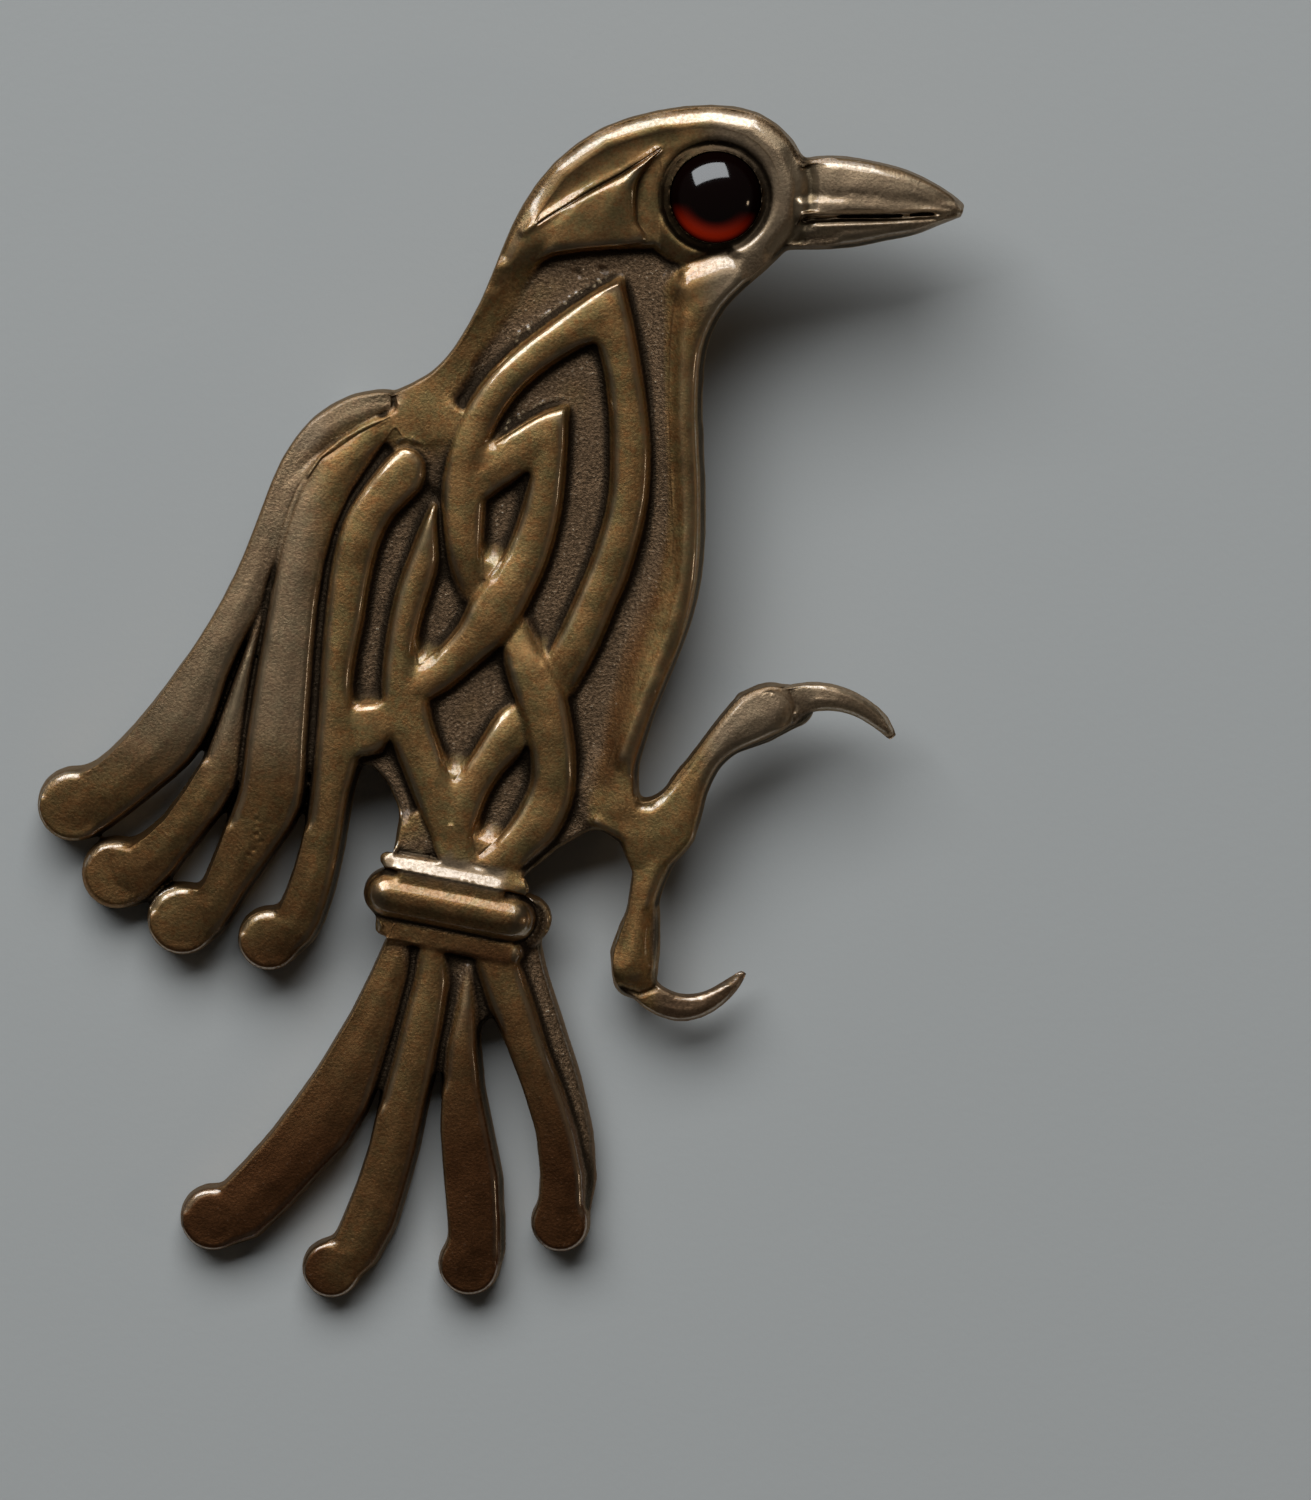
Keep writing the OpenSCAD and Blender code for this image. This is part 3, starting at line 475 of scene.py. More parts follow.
CHEEK_END = [(7.2, 18.6), (7.2, 20.2), (8.2, 20.6), (8.9, 19.9), (9.2, 18.4)]

# %% The head: one smooth form, with the brow as a shallow step on it
EYE = np.array([10.1, 23.85])
NAPE_HEIGHT, HEAD_RISE, FACE_HEIGHT = 1.72, 0.032, 2.3

head_height = NAPE_HEIGHT + HEAD_RISE * np.clip(map_x, 0, 9)
relief = at_least(relief, HEAD, head_height, soft=0.3)
relief = at_least(relief, FACE, FACE_HEIGHT, soft=0.35)
from_eye = np.hypot(map_x - EYE[0], map_y - EYE[1])
near_eye = between(from_eye, (2.55, 2.75), (3.3, 3.9)) * (map_x > EYE[0] - 2.6)
relief = blend(relief, blurred_metal(relief, 0.4), near_eye)
on_crown = falling(map_distance(CROWN), 1.5, 2.1)
relief = blend(relief, blurred_metal(relief, 0.5), on_crown * on_metal)

# %% The cheek, and the seat of the stone
CHEEK_HEIGHT, CHEEK_CURVE = 2.2, 0.3
CHEEK_MIDDLE, CHEEK_WAY = (9.75, 20.6), (-0.37, 0.93)
SEAT_R, SEAT_WIDTH, SEAT_DROP = 2.34, 0.28, 0.24

up_the_cheek = (map_x - CHEEK_MIDDLE[0]) * CHEEK_WAY[0] + (map_y - CHEEK_MIDDLE[1]) * CHEEK_WAY[1]
cheek_height = CHEEK_HEIGHT - CHEEK_CURVE * np.clip(up_the_cheek + 0.75, 0, 1.35) ** 2
relief = spread(relief, CHEEK, cheek_height, soft=0.3)
relief = smoothed(relief, CHEEK_END, radius=0.3, soft=0.3)
relief = relief - SEAT_DROP * np.exp(-((from_eye - SEAT_R) / SEAT_WIDTH) ** 2)
relief = blend(relief, cast_heights, falling(from_eye, 2.06, 2.16))
print("face:", FACE_HEIGHT, "mm high, seat of the stone", SEAT_DROP, "mm deep")

# %% [markdown]
# ## Shoulders that catch the window
# Along the crown, the beak's ridge, the toes and the curled ends of the feathers, the real metal rounds off and
# shines as a thin crescent. A drop towards a path along each edge gives that, where a blur would round it all.

# %% Edges that round off
BEAK_RIDGE = [(14.6, 25.6), (16.0, 25.65), (17.6, 25.4), (19.0, 25.05), (20.2, 24.5), (21.1, 23.9)]
TOE_EDGE = [
    (6.6, -4.62), (7.07, -4.65), (7.6, -4.22), (8.38, -3.19), (9.32, -1.87), (10.26, -0.56), (11.19, 0.47),
    (11.94, 0.94), (12.88, 0.94),
]
UPPER_CLAW = [(13.26, 1.12), (14.38, 1.27), (15.88, 1.03), (17.19, 0.37), (18.13, -0.47), (18.6, -1.12)]
LOWER_CLAW = [(7.45, -12.83), (8.2, -13.49), (9.32, -13.58), (10.26, -13.11), (11.29, -12.4)]
FIRST_FEATHER = [(-5.3, 15.0), (-7.0, 14.75), (-8.9, 13.6)]
# Path, how far the shoulder reaches in, how far it drops
SHOULDERS = [
    (CROWN, 0.75, 0.3),
    (BEAK_RIDGE, 0.5, 0.18),
    (TOE_EDGE, 0.36, 0.1),
    (UPPER_CLAW, 0.35, 0.13),
    (LOWER_CLAW, 0.35, 0.13),
    (FIRST_FEATHER, 0.3, 0.1),
]

# %% Knobs at the ends of the feathers
# Middle and radius of each, four on the wing and four on the tail
KNOBS = [
    (-20.15, -4.75, 1.70), (-18.15, -8.00, 1.65), (-15.05, -10.15, 1.65), (-10.95, -11.05, 1.45),
    (-13.60, -24.25, 1.50), (-8.15, -26.65, 1.45), (-1.50, -26.60, 1.40), (2.75, -24.60, 1.35),
]
LIT_KNOBS, WING_KNOBS = 6, 4
ARC_REACH = 0.42
WING_DROP, TAIL_DROP = 0.2, 0.1

smooth_ends = blurred_metal(relief, 0.5)
for x, y, radius in KNOBS:
    inner = falling(np.hypot(map_x - x, map_y - y), radius - 0.7, radius - 0.25)
    relief = blend(relief, smooth_ends, inner)
for number, (x, y, radius) in enumerate(KNOBS[:LIT_KNOBS]):
    turns = [math.radians(a) for a in range(84, 157, 12)]
    arc = [(x + radius * math.cos(turn), y + radius * math.sin(turn)) for turn in turns]
    SHOULDERS.append((arc, ARC_REACH, WING_DROP if number < WING_KNOBS else TAIL_DROP))

# %% Round shoulders along these edges
SHOULDER_CURVE = 1.25

rounded = np.zeros_like(relief)
for path, reach, drop in SHOULDERS:
    nearness = 1 - map_distance(path) / reach
    relief = relief - drop * np.clip(nearness, 0, 1) ** SHOULDER_CURVE * on_metal
    rounded = np.maximum(rounded, eased(nearness, 0.05, 0.3))
print("shoulders:", len(SHOULDERS))

# %% [markdown]
# ## Beak, toes and cross band
# The beak is two long halves that meet at a fine line, each claw grows out of its toe, and the cross band is a
# clean roll over the tail's root. Their heights change along one line only, so a few numbers set each of them.

# %% The beak: two halves with a fine line between them
MOUTH = [
    (13.9, 22.0), (14.8, 22.1), (17.5, 22.3), (20.4, 22.65), (21.2, 23.2), (20.4, 23.5), (17.5, 23.7),
    (14.6, 23.8), (13.9, 23.7),
]
BEAK_ROOT = [(13.7, 25.6), (15.3, 25.5), (15.4, 21.9), (13.7, 21.6)]
BEAK_X = (14.6, 16.0, 17.6, 19.0, 20.2, 21.1, 21.7)
UPPER_BEAK = (2.34, 2.30, 2.22, 2.06, 1.90, 1.70, 1.54)
LOWER_BEAK = (2.06, 2.03, 1.96, 1.86, 1.74, 1.62, 1.50)

upper_half = np.interp(map_x, BEAK_X, UPPER_BEAK)
lower_half = np.interp(map_x, BEAK_X, LOWER_BEAK)
relief = smoothed(relief, BEAK_ROOT, radius=0.45, soft=0.25)
relief = spread(relief, MOUTH, blend(lower_half, upper_half, eased(map_y, 22.7, 23.05)), soft=0.25)
print("beak:", UPPER_BEAK[0], "mm high at its root")

# %% The toes: each pad runs smoothly over the root of its claw
UPPER_JOINT = [
    (12.4, 1.2), (13.2, 1.5), (14.2, 1.3), (14.7, 0.6), (14.4, -0.2), (13.8, -0.9), (12.9, -0.9),
    (12.3, -0.1),
]
LOWER_JOINT = [(5.3, -12.4), (7.4, -12.0), (8.2, -12.9), (8.0, -13.8), (6.6, -14.4), (5.3, -13.8)]
LOWER_SIDE = [(6.3, -9.4), (7.7, -9.4), (7.7, -12.4), (6.3, -12.4)]

for joint in (UPPER_JOINT, LOWER_JOINT, LOWER_SIDE):
    relief = spread(relief, joint, blurred_metal(grown(relief), 0.32), soft=0.2)

# %% The cross band's lip, which slopes towards the knot
LIP_HEIGHT, LIP_FALL, LIP_MEETING = 2.30, 0.42, 0.05
LIP_ENDS = [
    [(-6.3, -6.3), (-5.2, -6.2), (-4.9, -7.3), (-5.4, -8.2), (-6.6, -8.0)],
    [(-0.2, -7.6), (1.6, -7.6), (1.6, -9.2), (0.9, -9.0), (0.2, -8.5)],
]

on_band = between(band_u, (-0.5, -0.3), (BAND_LENGTH + 0.2, BAND_LENGTH + 0.4))
on_lip = on_band * eased(band_v, 1.1, 1.25) * falling(band_u, BAND_LENGTH - 0.9, BAND_LENGTH - 0.4)
lip_height = LIP_HEIGHT - LIP_FALL * np.clip(band_v - 1.3, -0.1, 1.0)
relief = blend(relief, lip_height, on_lip * falling(band_v, 1.75, 2.05))
relief = blend(relief, higher(relief, lip_height, LIP_MEETING), on_lip * falling(band_v, 2.2, 2.6))
for end in LIP_ENDS:
    relief = smoothed(relief, end, radius=0.3, soft=0.2)

# %% The cross band's roll, and the collars beside it
ROLL_ROUNDING, ROLL_SINK = 0.1, 0.06
UPPER_COLLAR, LOWER_COLLAR, FOOT_HEIGHT = 2.28, 1.78, 1.80
COLLAR_MEETING = 0.04

relief = blend(relief, blurred_metal(cast_heights, ROLL_ROUNDING) - ROLL_SINK, on_roll)
filled = between(band_u, (0.0, 0.5), (BAND_LENGTH - 0.8, BAND_LENGTH - 0.3))
filled = filled * between(band_v, (0.5, 0.7), (1.3, 1.4))
relief = blend(relief, higher(relief, UPPER_COLLAR, COLLAR_MEETING), filled)
on_foot = on_band * between(band_v, (-2.3, -2.0), (-1.35, -1.2))
relief = blend(relief, FOOT_HEIGHT, on_foot)
under = on_band * between(band_v, (-1.4, -1.3), (-1.0, -0.9))
relief = blend(relief, higher(relief, LOWER_COLLAR, COLLAR_MEETING), under)
print("cross band:", round(BAND_LENGTH, 2), "mm long,", round(float((relief * on_roll).max()), 2), "mm high")

# %% The small triangle and the strip beside the foot of the side strand
TRIANGLE = [(-3.95, -4.85), (-4.7, -6.1), (-4.9, -6.9), (-2.9, -7.2), (-3.4, -5.8)]
TRIANGLE_HEIGHT = 1.75
STRIP = [(-5.6, -2.5), (-5.1, -2.4), (-3.8, -5.0), (-4.2, -5.3)]

relief = spread(relief, TRIANGLE, TRIANGLE_HEIGHT, soft=0.15)

# %% [markdown]
# ## Chased lines, beads and pits
# The founder went over the casting with small punches. Each line here is a stroke: a path over the drawing, a
# half width, and a height that is negative for a groove. Strokes move the skin itself, so that they catch the
# light from every side.

# %% Soft noise
LATTICE_SIDE = 64


def soft_noise(points, size, seed):
    """Smooth noise from -1 to 1 with bumps about one size apart."""
    lattice = np.random.default_rng(seed).uniform(-1, 1, (LATTICE_SIDE,) * 3)
    place = points / size
    cell = np.floor(place).astype(int)
    t = place - cell
    t = t * t * (3 - 2 * t)
    total = np.zeros(len(points))
    for corner in itertools.product((0, 1), repeat=3):
        weight = np.prod(np.where(corner, t, 1 - t), axis=1)
        i = (cell + corner) % LATTICE_SIDE
        total += weight * lattice[i[:, 0], i[:, 1], i[:, 2]]
    return total

# %% Strokes and rows of beads
LIFT_REACH = 3
BEAD_SCATTER, BEAD_SIZES = 0.05, (0.3, 1.2)


def stroke(points, path, width, height):
    """How far a stroke lifts each point, in mm."""
    low, high = np.min(path, axis=0) - LIFT_REACH * width, np.max(path, axis=0) + LIFT_REACH * width
    near = np.all((points[:, :2] > low) & (points[:, :2] < high), axis=1)
    lift = np.zeros(len(points))
    lift[near] = height * np.exp(-((distance_to_path(points[near, :2], path) / width) ** 2))
    return lift


def beads(points, path, spacing, radius, height):
    """How far a row of small uneven beads lifts each point, in mm."""
    random = np.random.default_rng(3)
    lift = np.zeros(len(points))
    reach = LIFT_REACH * radius
    for a, b in zip(path[:-1], path[1:]):
        a, b = np.array(a, float), np.array(b, float)
        count = max(1, round(float(np.linalg.norm(b - a)) / spacing))
        for k in range(count):
            x, y = a + (b - a) * (k + 0.5) / count + random.normal(0, BEAD_SCATTER, 2)
            near = (np.abs(points[:, 0] - x) < reach) & (np.abs(points[:, 1] - y) < reach)
            away = np.hypot(points[near, 0] - x, points[near, 1] - y)
            lift[near] += height * random.uniform(*BEAD_SIZES) * np.exp(-((away / radius) ** 2))
    return lift

# %% Where the lines and the beads run
# Path over the drawing in mm, half width, height
STROKES = [
    ([(14.8, 22.80), (17.0, 22.86), (20.3, 22.95)], 0.16, -0.15),
    ([(14.9, 22.50), (17.0, 22.56), (20.3, 22.74)], 0.15, 0.09),
    ([(14.2, 25.8), (14.5, 24.7), (14.5, 23.5), (14.0, 21.8)], 0.3, -0.2),
    ([(3.55, 20.35), (3.7, 20.2)], 0.13, -0.12),
    ([(4.75, 20.5), (4.9, 20.45)], 0.12, -0.14),
    ([(1.1, 22.25), (2.6, 23.2), (4.6, 24.4), (6.3, 25.3), (7.4, 26.0)], 0.2, 0.1),
    ([(-8.9, 10.9), (-8.35, 11.75), (-7.5, 12.5), (-6.4, 13.1), (-5.2, 13.6)], 0.14, 0.1),
    ([(-8.5, 13.9), (-6.9, 14.6), (-5.3, 14.85)], 0.14, 0.08),
    ([(-5.12, 14.9), (-4.98, 14.4), (-4.93, 13.95)], 0.14, -0.1),
    ([(13.1, 1.2), (13.6, 0.75), (13.8, 0.1), (13.6, -0.75)], 0.13, -0.14),
    ([(7.45, -12.5), (7.2, -13.3), (6.5, -13.55), (5.6, -13.2)], 0.13, -0.14),
    ([(-0.1, 15.95), (1.2, 17.35), (3.0, 18.65), (4.5, 19.42), (5.5, 19.8)], 0.12, 0.07),
    ([(-0.1, 12.35), (0.9, 13.2), (2.2, 13.85), (3.05, 14.1)], 0.12, 0.07),
    ([(-4.9, 12.0), (-4.3, 12.2), (-3.7, 12.0), (-3.3, 11.5)], 0.12, 0.06),
]
# Path, spacing, radius, height
BEADS = [
    ([(-5.0, 12.5), (-4.3, 12.6), (-3.7, 12.35), (-3.2, 11.8)], 0.24, 0.1, 0.06),
    ([(0.1, 13.1), (1.0, 13.75), (2.0, 14.25), (3.1, 14.55)], 0.22, 0.09, 0.08),
    ([(0.6, 17.2), (1.6, 18.0), (3.0, 18.9), (4.3, 19.75), (5.4, 20.35)], 0.22, 0.09, 0.08),
    ([(16.1, 24.25), (16.9, 24.0), (17.6, 23.95)], 0.4, 0.1, -0.05),
    ([(-11.6, -5.0), (-11.3, -6.2), (-11.9, -7.2)], 0.4, 0.1, -0.06),
]
print("strokes:", len(STROKES), "rows of beads and pits:", len(BEADS))

# %% Small pushes along the drawing
# Middle, reach, push
PUSHES = [
    ((-6.15, -10.35), 0.4, (0.55, 0.0)),
    ((1.7, -8.2), 0.4, (-0.35, 0.0)),
]


def pushed(points):
    """The points with the outline's small flaws pushed in."""
    points = points.copy()
    for middle, reach, way in PUSHES:
        away = np.hypot(points[:, 0] - middle[0], points[:, 1] - middle[1]) / reach
        points[:, :2] += np.exp(-(away ** 2))[:, None] * np.array(way)
    return points

# %% [markdown]
# ## Back on the skin
# The map knows nothing of the bird's sides and back. So it is laid only over what faces up, fades out at the rim,
# and leaves the stone's pocket and the back as the solid has them. A drop towards the rim rounds the outer edge.

# %% The sculpted map, laid over the skin
BACK_HEIGHT = 0.75
RIM_DROP = 0.16
LIMIT, EDGE_SHARE = 0.25, 0.6

points = points_of(mesh)
normals = normals_of(mesh)
facing_up = eased(normals[:, 2], 0.15, 0.7)
from_edge = read_map(edge_map, points)
rim_side = eased(read_map(facing_window, points), *WINDOW_SIDE)
within = eased(from_edge, 0.72 - 0.2 * rim_side, 0.97 - 0.25 * rim_side)
within = within * (points[:, 2] > BACK_HEIGHT) * (normals[:, 2] > -0.3)
eye_away = np.hypot(points[:, 0] - EYE[0], points[:, 1] - EYE[1])
in_pocket = falling(eye_away, 2.1, 2.2)

z = points[:, 2]
change = np.clip(read_map(relief - cast_heights, points), -LIMIT, LIMIT)
z_edge = z + change * facing_up * eased(z, 0.5, 1.0) * EDGE_SHARE
z_new = blend(z_edge, read_map(relief, points), within)
shoulder = np.clip((0.97 - from_edge) / 0.47, 0, 1)
z_new = z_new - RIM_DROP * shoulder ** 2 * np.maximum(facing_up, within)
points[:, 2] = blend(z_new, z, in_pocket)

# %% Lines, beads and a slightly uneven surface
# Size and height of the waves that casting and wear leave
UNDULATION = ((2.6, 0.035), (1.1, 0.02), (0.45, 0.008))

smooth_parts = covered(HEAD, FACE, CHEEK, soft=0.2)
bead_lift = sum(beads(points, *row) for row in BEADS)
lift = sum(stroke(points, *line) for line in STROKES) + bead_lift
calm = 1 - 0.7 * read_map(np.maximum(np.clip(smooth_parts + on_roll, 0, 1), on_crown), points)
for seed, (size, height) in enumerate(UNDULATION):
    lift += height * soft_noise(points, size, seed) * calm
points[:, 2] += lift * facing_up * (1 - in_pocket)
move_points(mesh, pushed(points))
print("greatest lift:", round(float(lift.max()), 2), "mm")

# %% [markdown]
# ## What the patina and the painted light need to know
# Old bronze is dark where hands never reach and bright on the crests they rub. Here the dark crevices are partly
# patina and partly painted shade, the bright crests partly wear and partly painted highlight, and some places are
# made darker and redder. The shader can't see this by itself, so each point of the skin keeps a few numbers from 0
# to 1: how hollow, polished, pale or red it is. Numbers at the points need no texture and no unwrapping.

# %% Hollows, crevices with patina and painted shade, and polished places
HOLLOW_WIDTH, HOLLOW_DEPTH = 1.1, 0.3
CREVICE_WIDTH, CREVICE_DEPTH = 0.28, 0.12
SEAT_MIDDLE = 2.33


def here(field):
    """The map's value at each point of the skin."""
    return read_map(field, points)


on_top = eased(from_edge, 0.55, 0.9)
on_beak = eased(map_x, 13.0, 13.5) * (map_y > 19)
polished = smooth_parts + 0.15 * on_roll + on_lip * (band_v < 2.2) + 0.3 * on_beak + 0.7 * scooped
polished_here = here(np.clip(polished, 0, 1))
hollow_here = here(blurred_metal(relief, HOLLOW_WIDTH) - relief) / HOLLOW_DEPTH
crevice_here = here(blurred_metal(relief, CREVICE_WIDTH) - relief)
# Painted shade: the ring round the stone's seat is darkened in colour and keeps no bright crest.
seat_shade = falling(np.abs(eye_away - SEAT_MIDDLE), 0.22, 0.45)
# Painted shade: the chased grooves are darkened along their paths.
groove_shade = sum(
    stroke(points, path, 1.1 * width, min(1, -4 * height))
    for path, width, height in STROKES if height < 0
)
# Darkened in colour: narrow places below their surroundings, partly patina and partly painted shade, with the seat
# and the grooves as painted shade.
patina_and_painted_shade = np.maximum(crevice_here / CREVICE_DEPTH, 0) + seat_shade + 0.9 * groove_shade
keep_value(mesh, "hollow", np.clip(hollow_here, 0, 1) * on_top * (1 - polished_here) * (1 - here(on_foot)))
keep_value(mesh, "polished", polished_here)
keep_value(mesh, "patina_and_shade", np.clip(patina_and_painted_shade * on_top, 0, 1))

# %% Crests with wear and painted highlight, the roll, and the sides' painted shade
CREST_HEIGHT, BEAD_HEIGHT = 0.1, 0.05

rim_crest = eased(shoulder, 0.05, 0.4) * (points[:, 2] > BACK_HEIGHT) * (1 - here(on_roll))
# Crests, rims, beads and rounded shoulders, which the colour lightens: partly wear, partly painted highlight.
crest = np.maximum(np.clip(-crevice_here / CREST_HEIGHT, 0, 1), rim_crest)
crest = np.maximum(crest, np.clip(bead_lift / BEAD_HEIGHT, 0, 1))
crest = np.maximum(crest, 0.9 * here(rounded)) * facing_up * (1 - seat_shade)
plain = np.clip(covered(TRIANGLE, STRIP, soft=0.15) + on_foot, 0, 1)
keep_value(mesh, "crest", crest * (1 - here(plain)))
keep_value(mesh, "roll", here(on_roll))
# Painted shade: the steeper a side, the darker its colour.
keep_value(mesh, "wall", falling(normals[:, 2], 0.1, 0.5))

# %% Where the metal is paler, and the lip's painted highlight
x, y = points[:, 0], points[:, 1]
WING_ROOT = [(-9.0, 13.0), (-7.4, 14.1), (-5.4, 14.7)]


def along(path, width):
    """1 on a path over the skin and 0 beyond this half width."""
    return np.exp(-((distance_to_path(points[:, :2], path) / width) ** 4))


wing = eased(-x, 7.6, 9.6) * eased(y, -4.5, 0.0) + along(WING_ROOT, 0.9)
beak = eased(x, 14.2, 14.8) * eased(y, 18, 19)
toe = eased(x, 9.0, 10.5) * eased(y, -5.0, -3.5)
claw = eased(x, 6.9, 7.8) * falling(y, -12.6, -11.6) * (y > -16)
# Painted highlight: the cross band's lip, which faces the window, is made paler.
lip_highlight = here(on_lip * falling(band_v, 2.1, 2.4))
keep_value(mesh, "pale_and_lip_highlight", np.clip(0.75 * wing + 0.45 * beak + toe + claw + lip_highlight, 0, 1))

# %% Where it is darker and redder, and the painted shade below the roll
OLIVE_FEATHER = [(-3.2, -11.0), (-3.6, -15.0), (-4.6, -19.0), (-5.9, -23.0), (-7.4, -26.5)]
CHEST_LOW = [
    (4.0, -3.8), (5.4, -4.0), (5.9, -1.0), (6.6, 2.0), (7.6, 5.0), (7.9, 8.5), (7.3, 9.0), (6.6, 6.0),
    (5.6, 3.0), (4.8, 0.0),
]

tail = eased(-y, 10.3, 12.0) * (0.45 + 0.55 * eased(-y, 13.0, 22.0)) * (x < 5)
tail = tail * (1 - 0.45 * along(OLIVE_FEATHER, 1.1))
feather_ends = eased(-x, 7.6, 9.6) * eased(-y, 0.5, 4.5) * (y > -14)
chest_low = here(covered(CHEST_LOW, soft=0.4))
# Painted shade: the foot below the cross band's roll is darkened. The tail grows darker and redder towards its
# tips.
ruddy_and_foot_shade = tail + 0.3 * here(on_roll) + 0.4 * feather_ends + 0.8 * chest_low + 0.6 * claw + 0.5 * here(on_foot)
keep_value(mesh, "ruddy_and_foot_shade", np.clip(ruddy_and_foot_shade, 0, 1))

# %% [markdown]
# ## Straight sides and fewer faces
# The remesh leaves small steps down the sides. Smoothing them sideways only, and less where a feather is thin,
# straightens them without losing height. Then faces are dropped until other programs can hold the skin.

# %% Fewer faces, then down to the floor
MOST_FACES = 192000
STRAIGHTENING, STRAIGHTENING_ROUNDS = 0.5, 50
SHARES = (0.25, 0.5, 0.75, 1.0)

triangles = triangles_of(mesh)
sides = casting.vertex_groups.new(name="sides")
thick_enough = 0.3 + 0.7 * eased(here(bulk), 0.36, 0.46)
side_share = np.round(falling(from_edge, 0.7, 0.92) * thick_enough * len(SHARES)) / len(SHARES)
for share in SHARES:
    sides.add([int(i) for i in np.nonzero(side_share == share)[0]], share, "REPLACE")
straighten = casting.modifiers.new("straighten", "SMOOTH")
straighten.use_z = False
straighten.factor = STRAIGHTENING
straighten.iterations = STRAIGHTENING_ROUNDS
straighten.vertex_group = "sides"
fewer = casting.modifiers.new("fewer", "DECIMATE")
fewer.ratio = min(1, MOST_FACES / triangles)
thin = settled(casting)
move_points(thin, laid_down(points_of(thin)))
thin.shade_smooth()
print("casting:", triangles, "triangles, kept", triangles_of(thin))
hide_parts("raven_casting")
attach(casting, "root")

# %% [markdown]
# ## The eye
# The eye is a garnet cabochon: a short straight girdle with a dome on it, so it is turned on a lathe, one profile
# round an axis. The dome is half an ellipse, flat at the top and steep at the rim, as such stones are cut, so it
# bends the window's reflection into a short arc near the top.

# %% A lathe
def turned(name, profile, sides):
    """A piece with this profile, as (radius, height) from the rim to the middle, turned round z."""
    ring_points, faces = [], []
    for radius, height in profile[:-1]:
        for k in range(sides):
            angle = 2 * math.pi * k / sides
            ring_points.append((radius * math.cos(angle), radius * math.sin(angle), height))
    for ring in range(len(profile) - 2):
        for k in range(sides):
            a, b = ring * sides + k, ring * sides + (k + 1) % sides
            faces.append((a, b, b + sides, a + sides))
    top = len(ring_points)
    ring_points.append((0, 0, profile[-1][1]))
    last = (len(profile) - 2) * sides
    faces += [(last + k, last + (k + 1) % sides, top) for k in range(sides)]
    faces.append(tuple(reversed(range(sides))))
    mesh = bpy.data.meshes.new(name)
    mesh.from_pydata(ring_points, [], faces)
    mesh.shade_smooth()
    return new_piece(name, mesh)

# %% The garnet
EYE_R, EYE_H, GIRDLE_H = 2.1, 1.7, 0.5
# The stone's foot: the plate and the head's relief, less the pocket, plus a little play
PLATE, HEAD_RELIEF, POCKET, PLAY = 1.3, 0.8 * 1.3, 0.9, 0.04
EYE_FOOT = PLATE + HEAD_RELIEF - POCKET + PLAY
DOME_STEPS, ROUND_STEPS = 24, 72

profile = [(EYE_R, 0.0)]
for k in range(DOME_STEPS + 1):
    angle = math.pi / 2 * (1 - k / DOME_STEPS)
    profile.append((EYE_R * math.sin(angle), GIRDLE_H + (EYE_H - GIRDLE_H) * math.cos(angle)))
garnet = turned("garnet_eye", profile, ROUND_STEPS)
move_points(garnet.data, laid_down(points_of(garnet.data) + np.array([*EYE, EYE_FOOT])))
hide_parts("eye_cabochon")
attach(garnet, "root")
print("eye: dome", round(EYE_H - GIRDLE_H, 2), "mm high on a radius of", EYE_R, "mm")

# %% [markdown]
# ## Materials
# A material is a small network of nodes. Each helper here adds one node and links what it is given. An effect
# that several materials share sits in a node group, and each material places it with its own values.

# %% Helpers for nodes
def feed(tree, socket, value):
    """Links a socket to another node's output, or sets a number or a colour on it."""
    if isinstance(value, bpy.types.NodeSocket):
        tree.links.new(value, socket)
    else:
        socket.default_value = value


def add(tree, kind, inputs=(), **settings):
    """A new node. Its inputs are numbers, colours, or sockets of other nodes."""
    node = tree.nodes.new(kind)
    for name, value in settings.items():
        setattr(node, name, value)
    for name, value in dict(inputs).items():
        feed(tree, node.inputs[name], value)
    return node


def mixed(tree, factor, a, b):
    """A mix of two colours."""
    return add(tree, "ShaderNodeMix", {0: factor, 6: a, 7: b}, data_type="RGBA").outputs[2]


def ramp(tree, value, low, high):
    """0 below low, 1 above high, smooth between."""
    inputs = {"Value": value, "From Min": low, "From Max": high}
    return add(tree, "ShaderNodeMapRange", inputs, interpolation_type="SMOOTHSTEP").outputs["Result"]


def maths(tree, operation, a, b=0.0, c=0.0):
    return add(tree, "ShaderNodeMath", {0: a, 1: b, 2: c}, operation=operation).outputs[0]


def times(tree, a, b):
    return maths(tree, "MULTIPLY", a, b)


def line(tree, value, slope, start):
    """The value times a slope, from a start."""
    return maths(tree, "MULTIPLY_ADD", value, slope, start)


def noise(tree, place, scale, detail, roughness):
    inputs = {"Vector": place, "Scale": scale, "Detail": detail, "Roughness": roughness}
    return add(tree, "ShaderNodeTexNoise", inputs).outputs["Fac"]

# %% Helpers for groups and materials
def group(name, inputs, outputs):
    """An empty node group with named sockets, as (group, its inputs, its outputs)."""
    tree = bpy.data.node_groups.new(name, "ShaderNodeTree")
    for label, kind, value in inputs:
        socket = tree.interface.new_socket(label, in_out="INPUT", socket_type=kind)
        if value is not None:
            socket.default_value = value
    for label, kind in outputs:
        tree.interface.new_socket(label, in_out="OUTPUT", socket_type=kind)
    return tree, tree.nodes.new("NodeGroupInput").outputs, tree.nodes.new("NodeGroupOutput").inputs


def placed(tree, node_group, inputs):
    return add(tree, "ShaderNodeGroup", inputs, node_tree=node_group).outputs


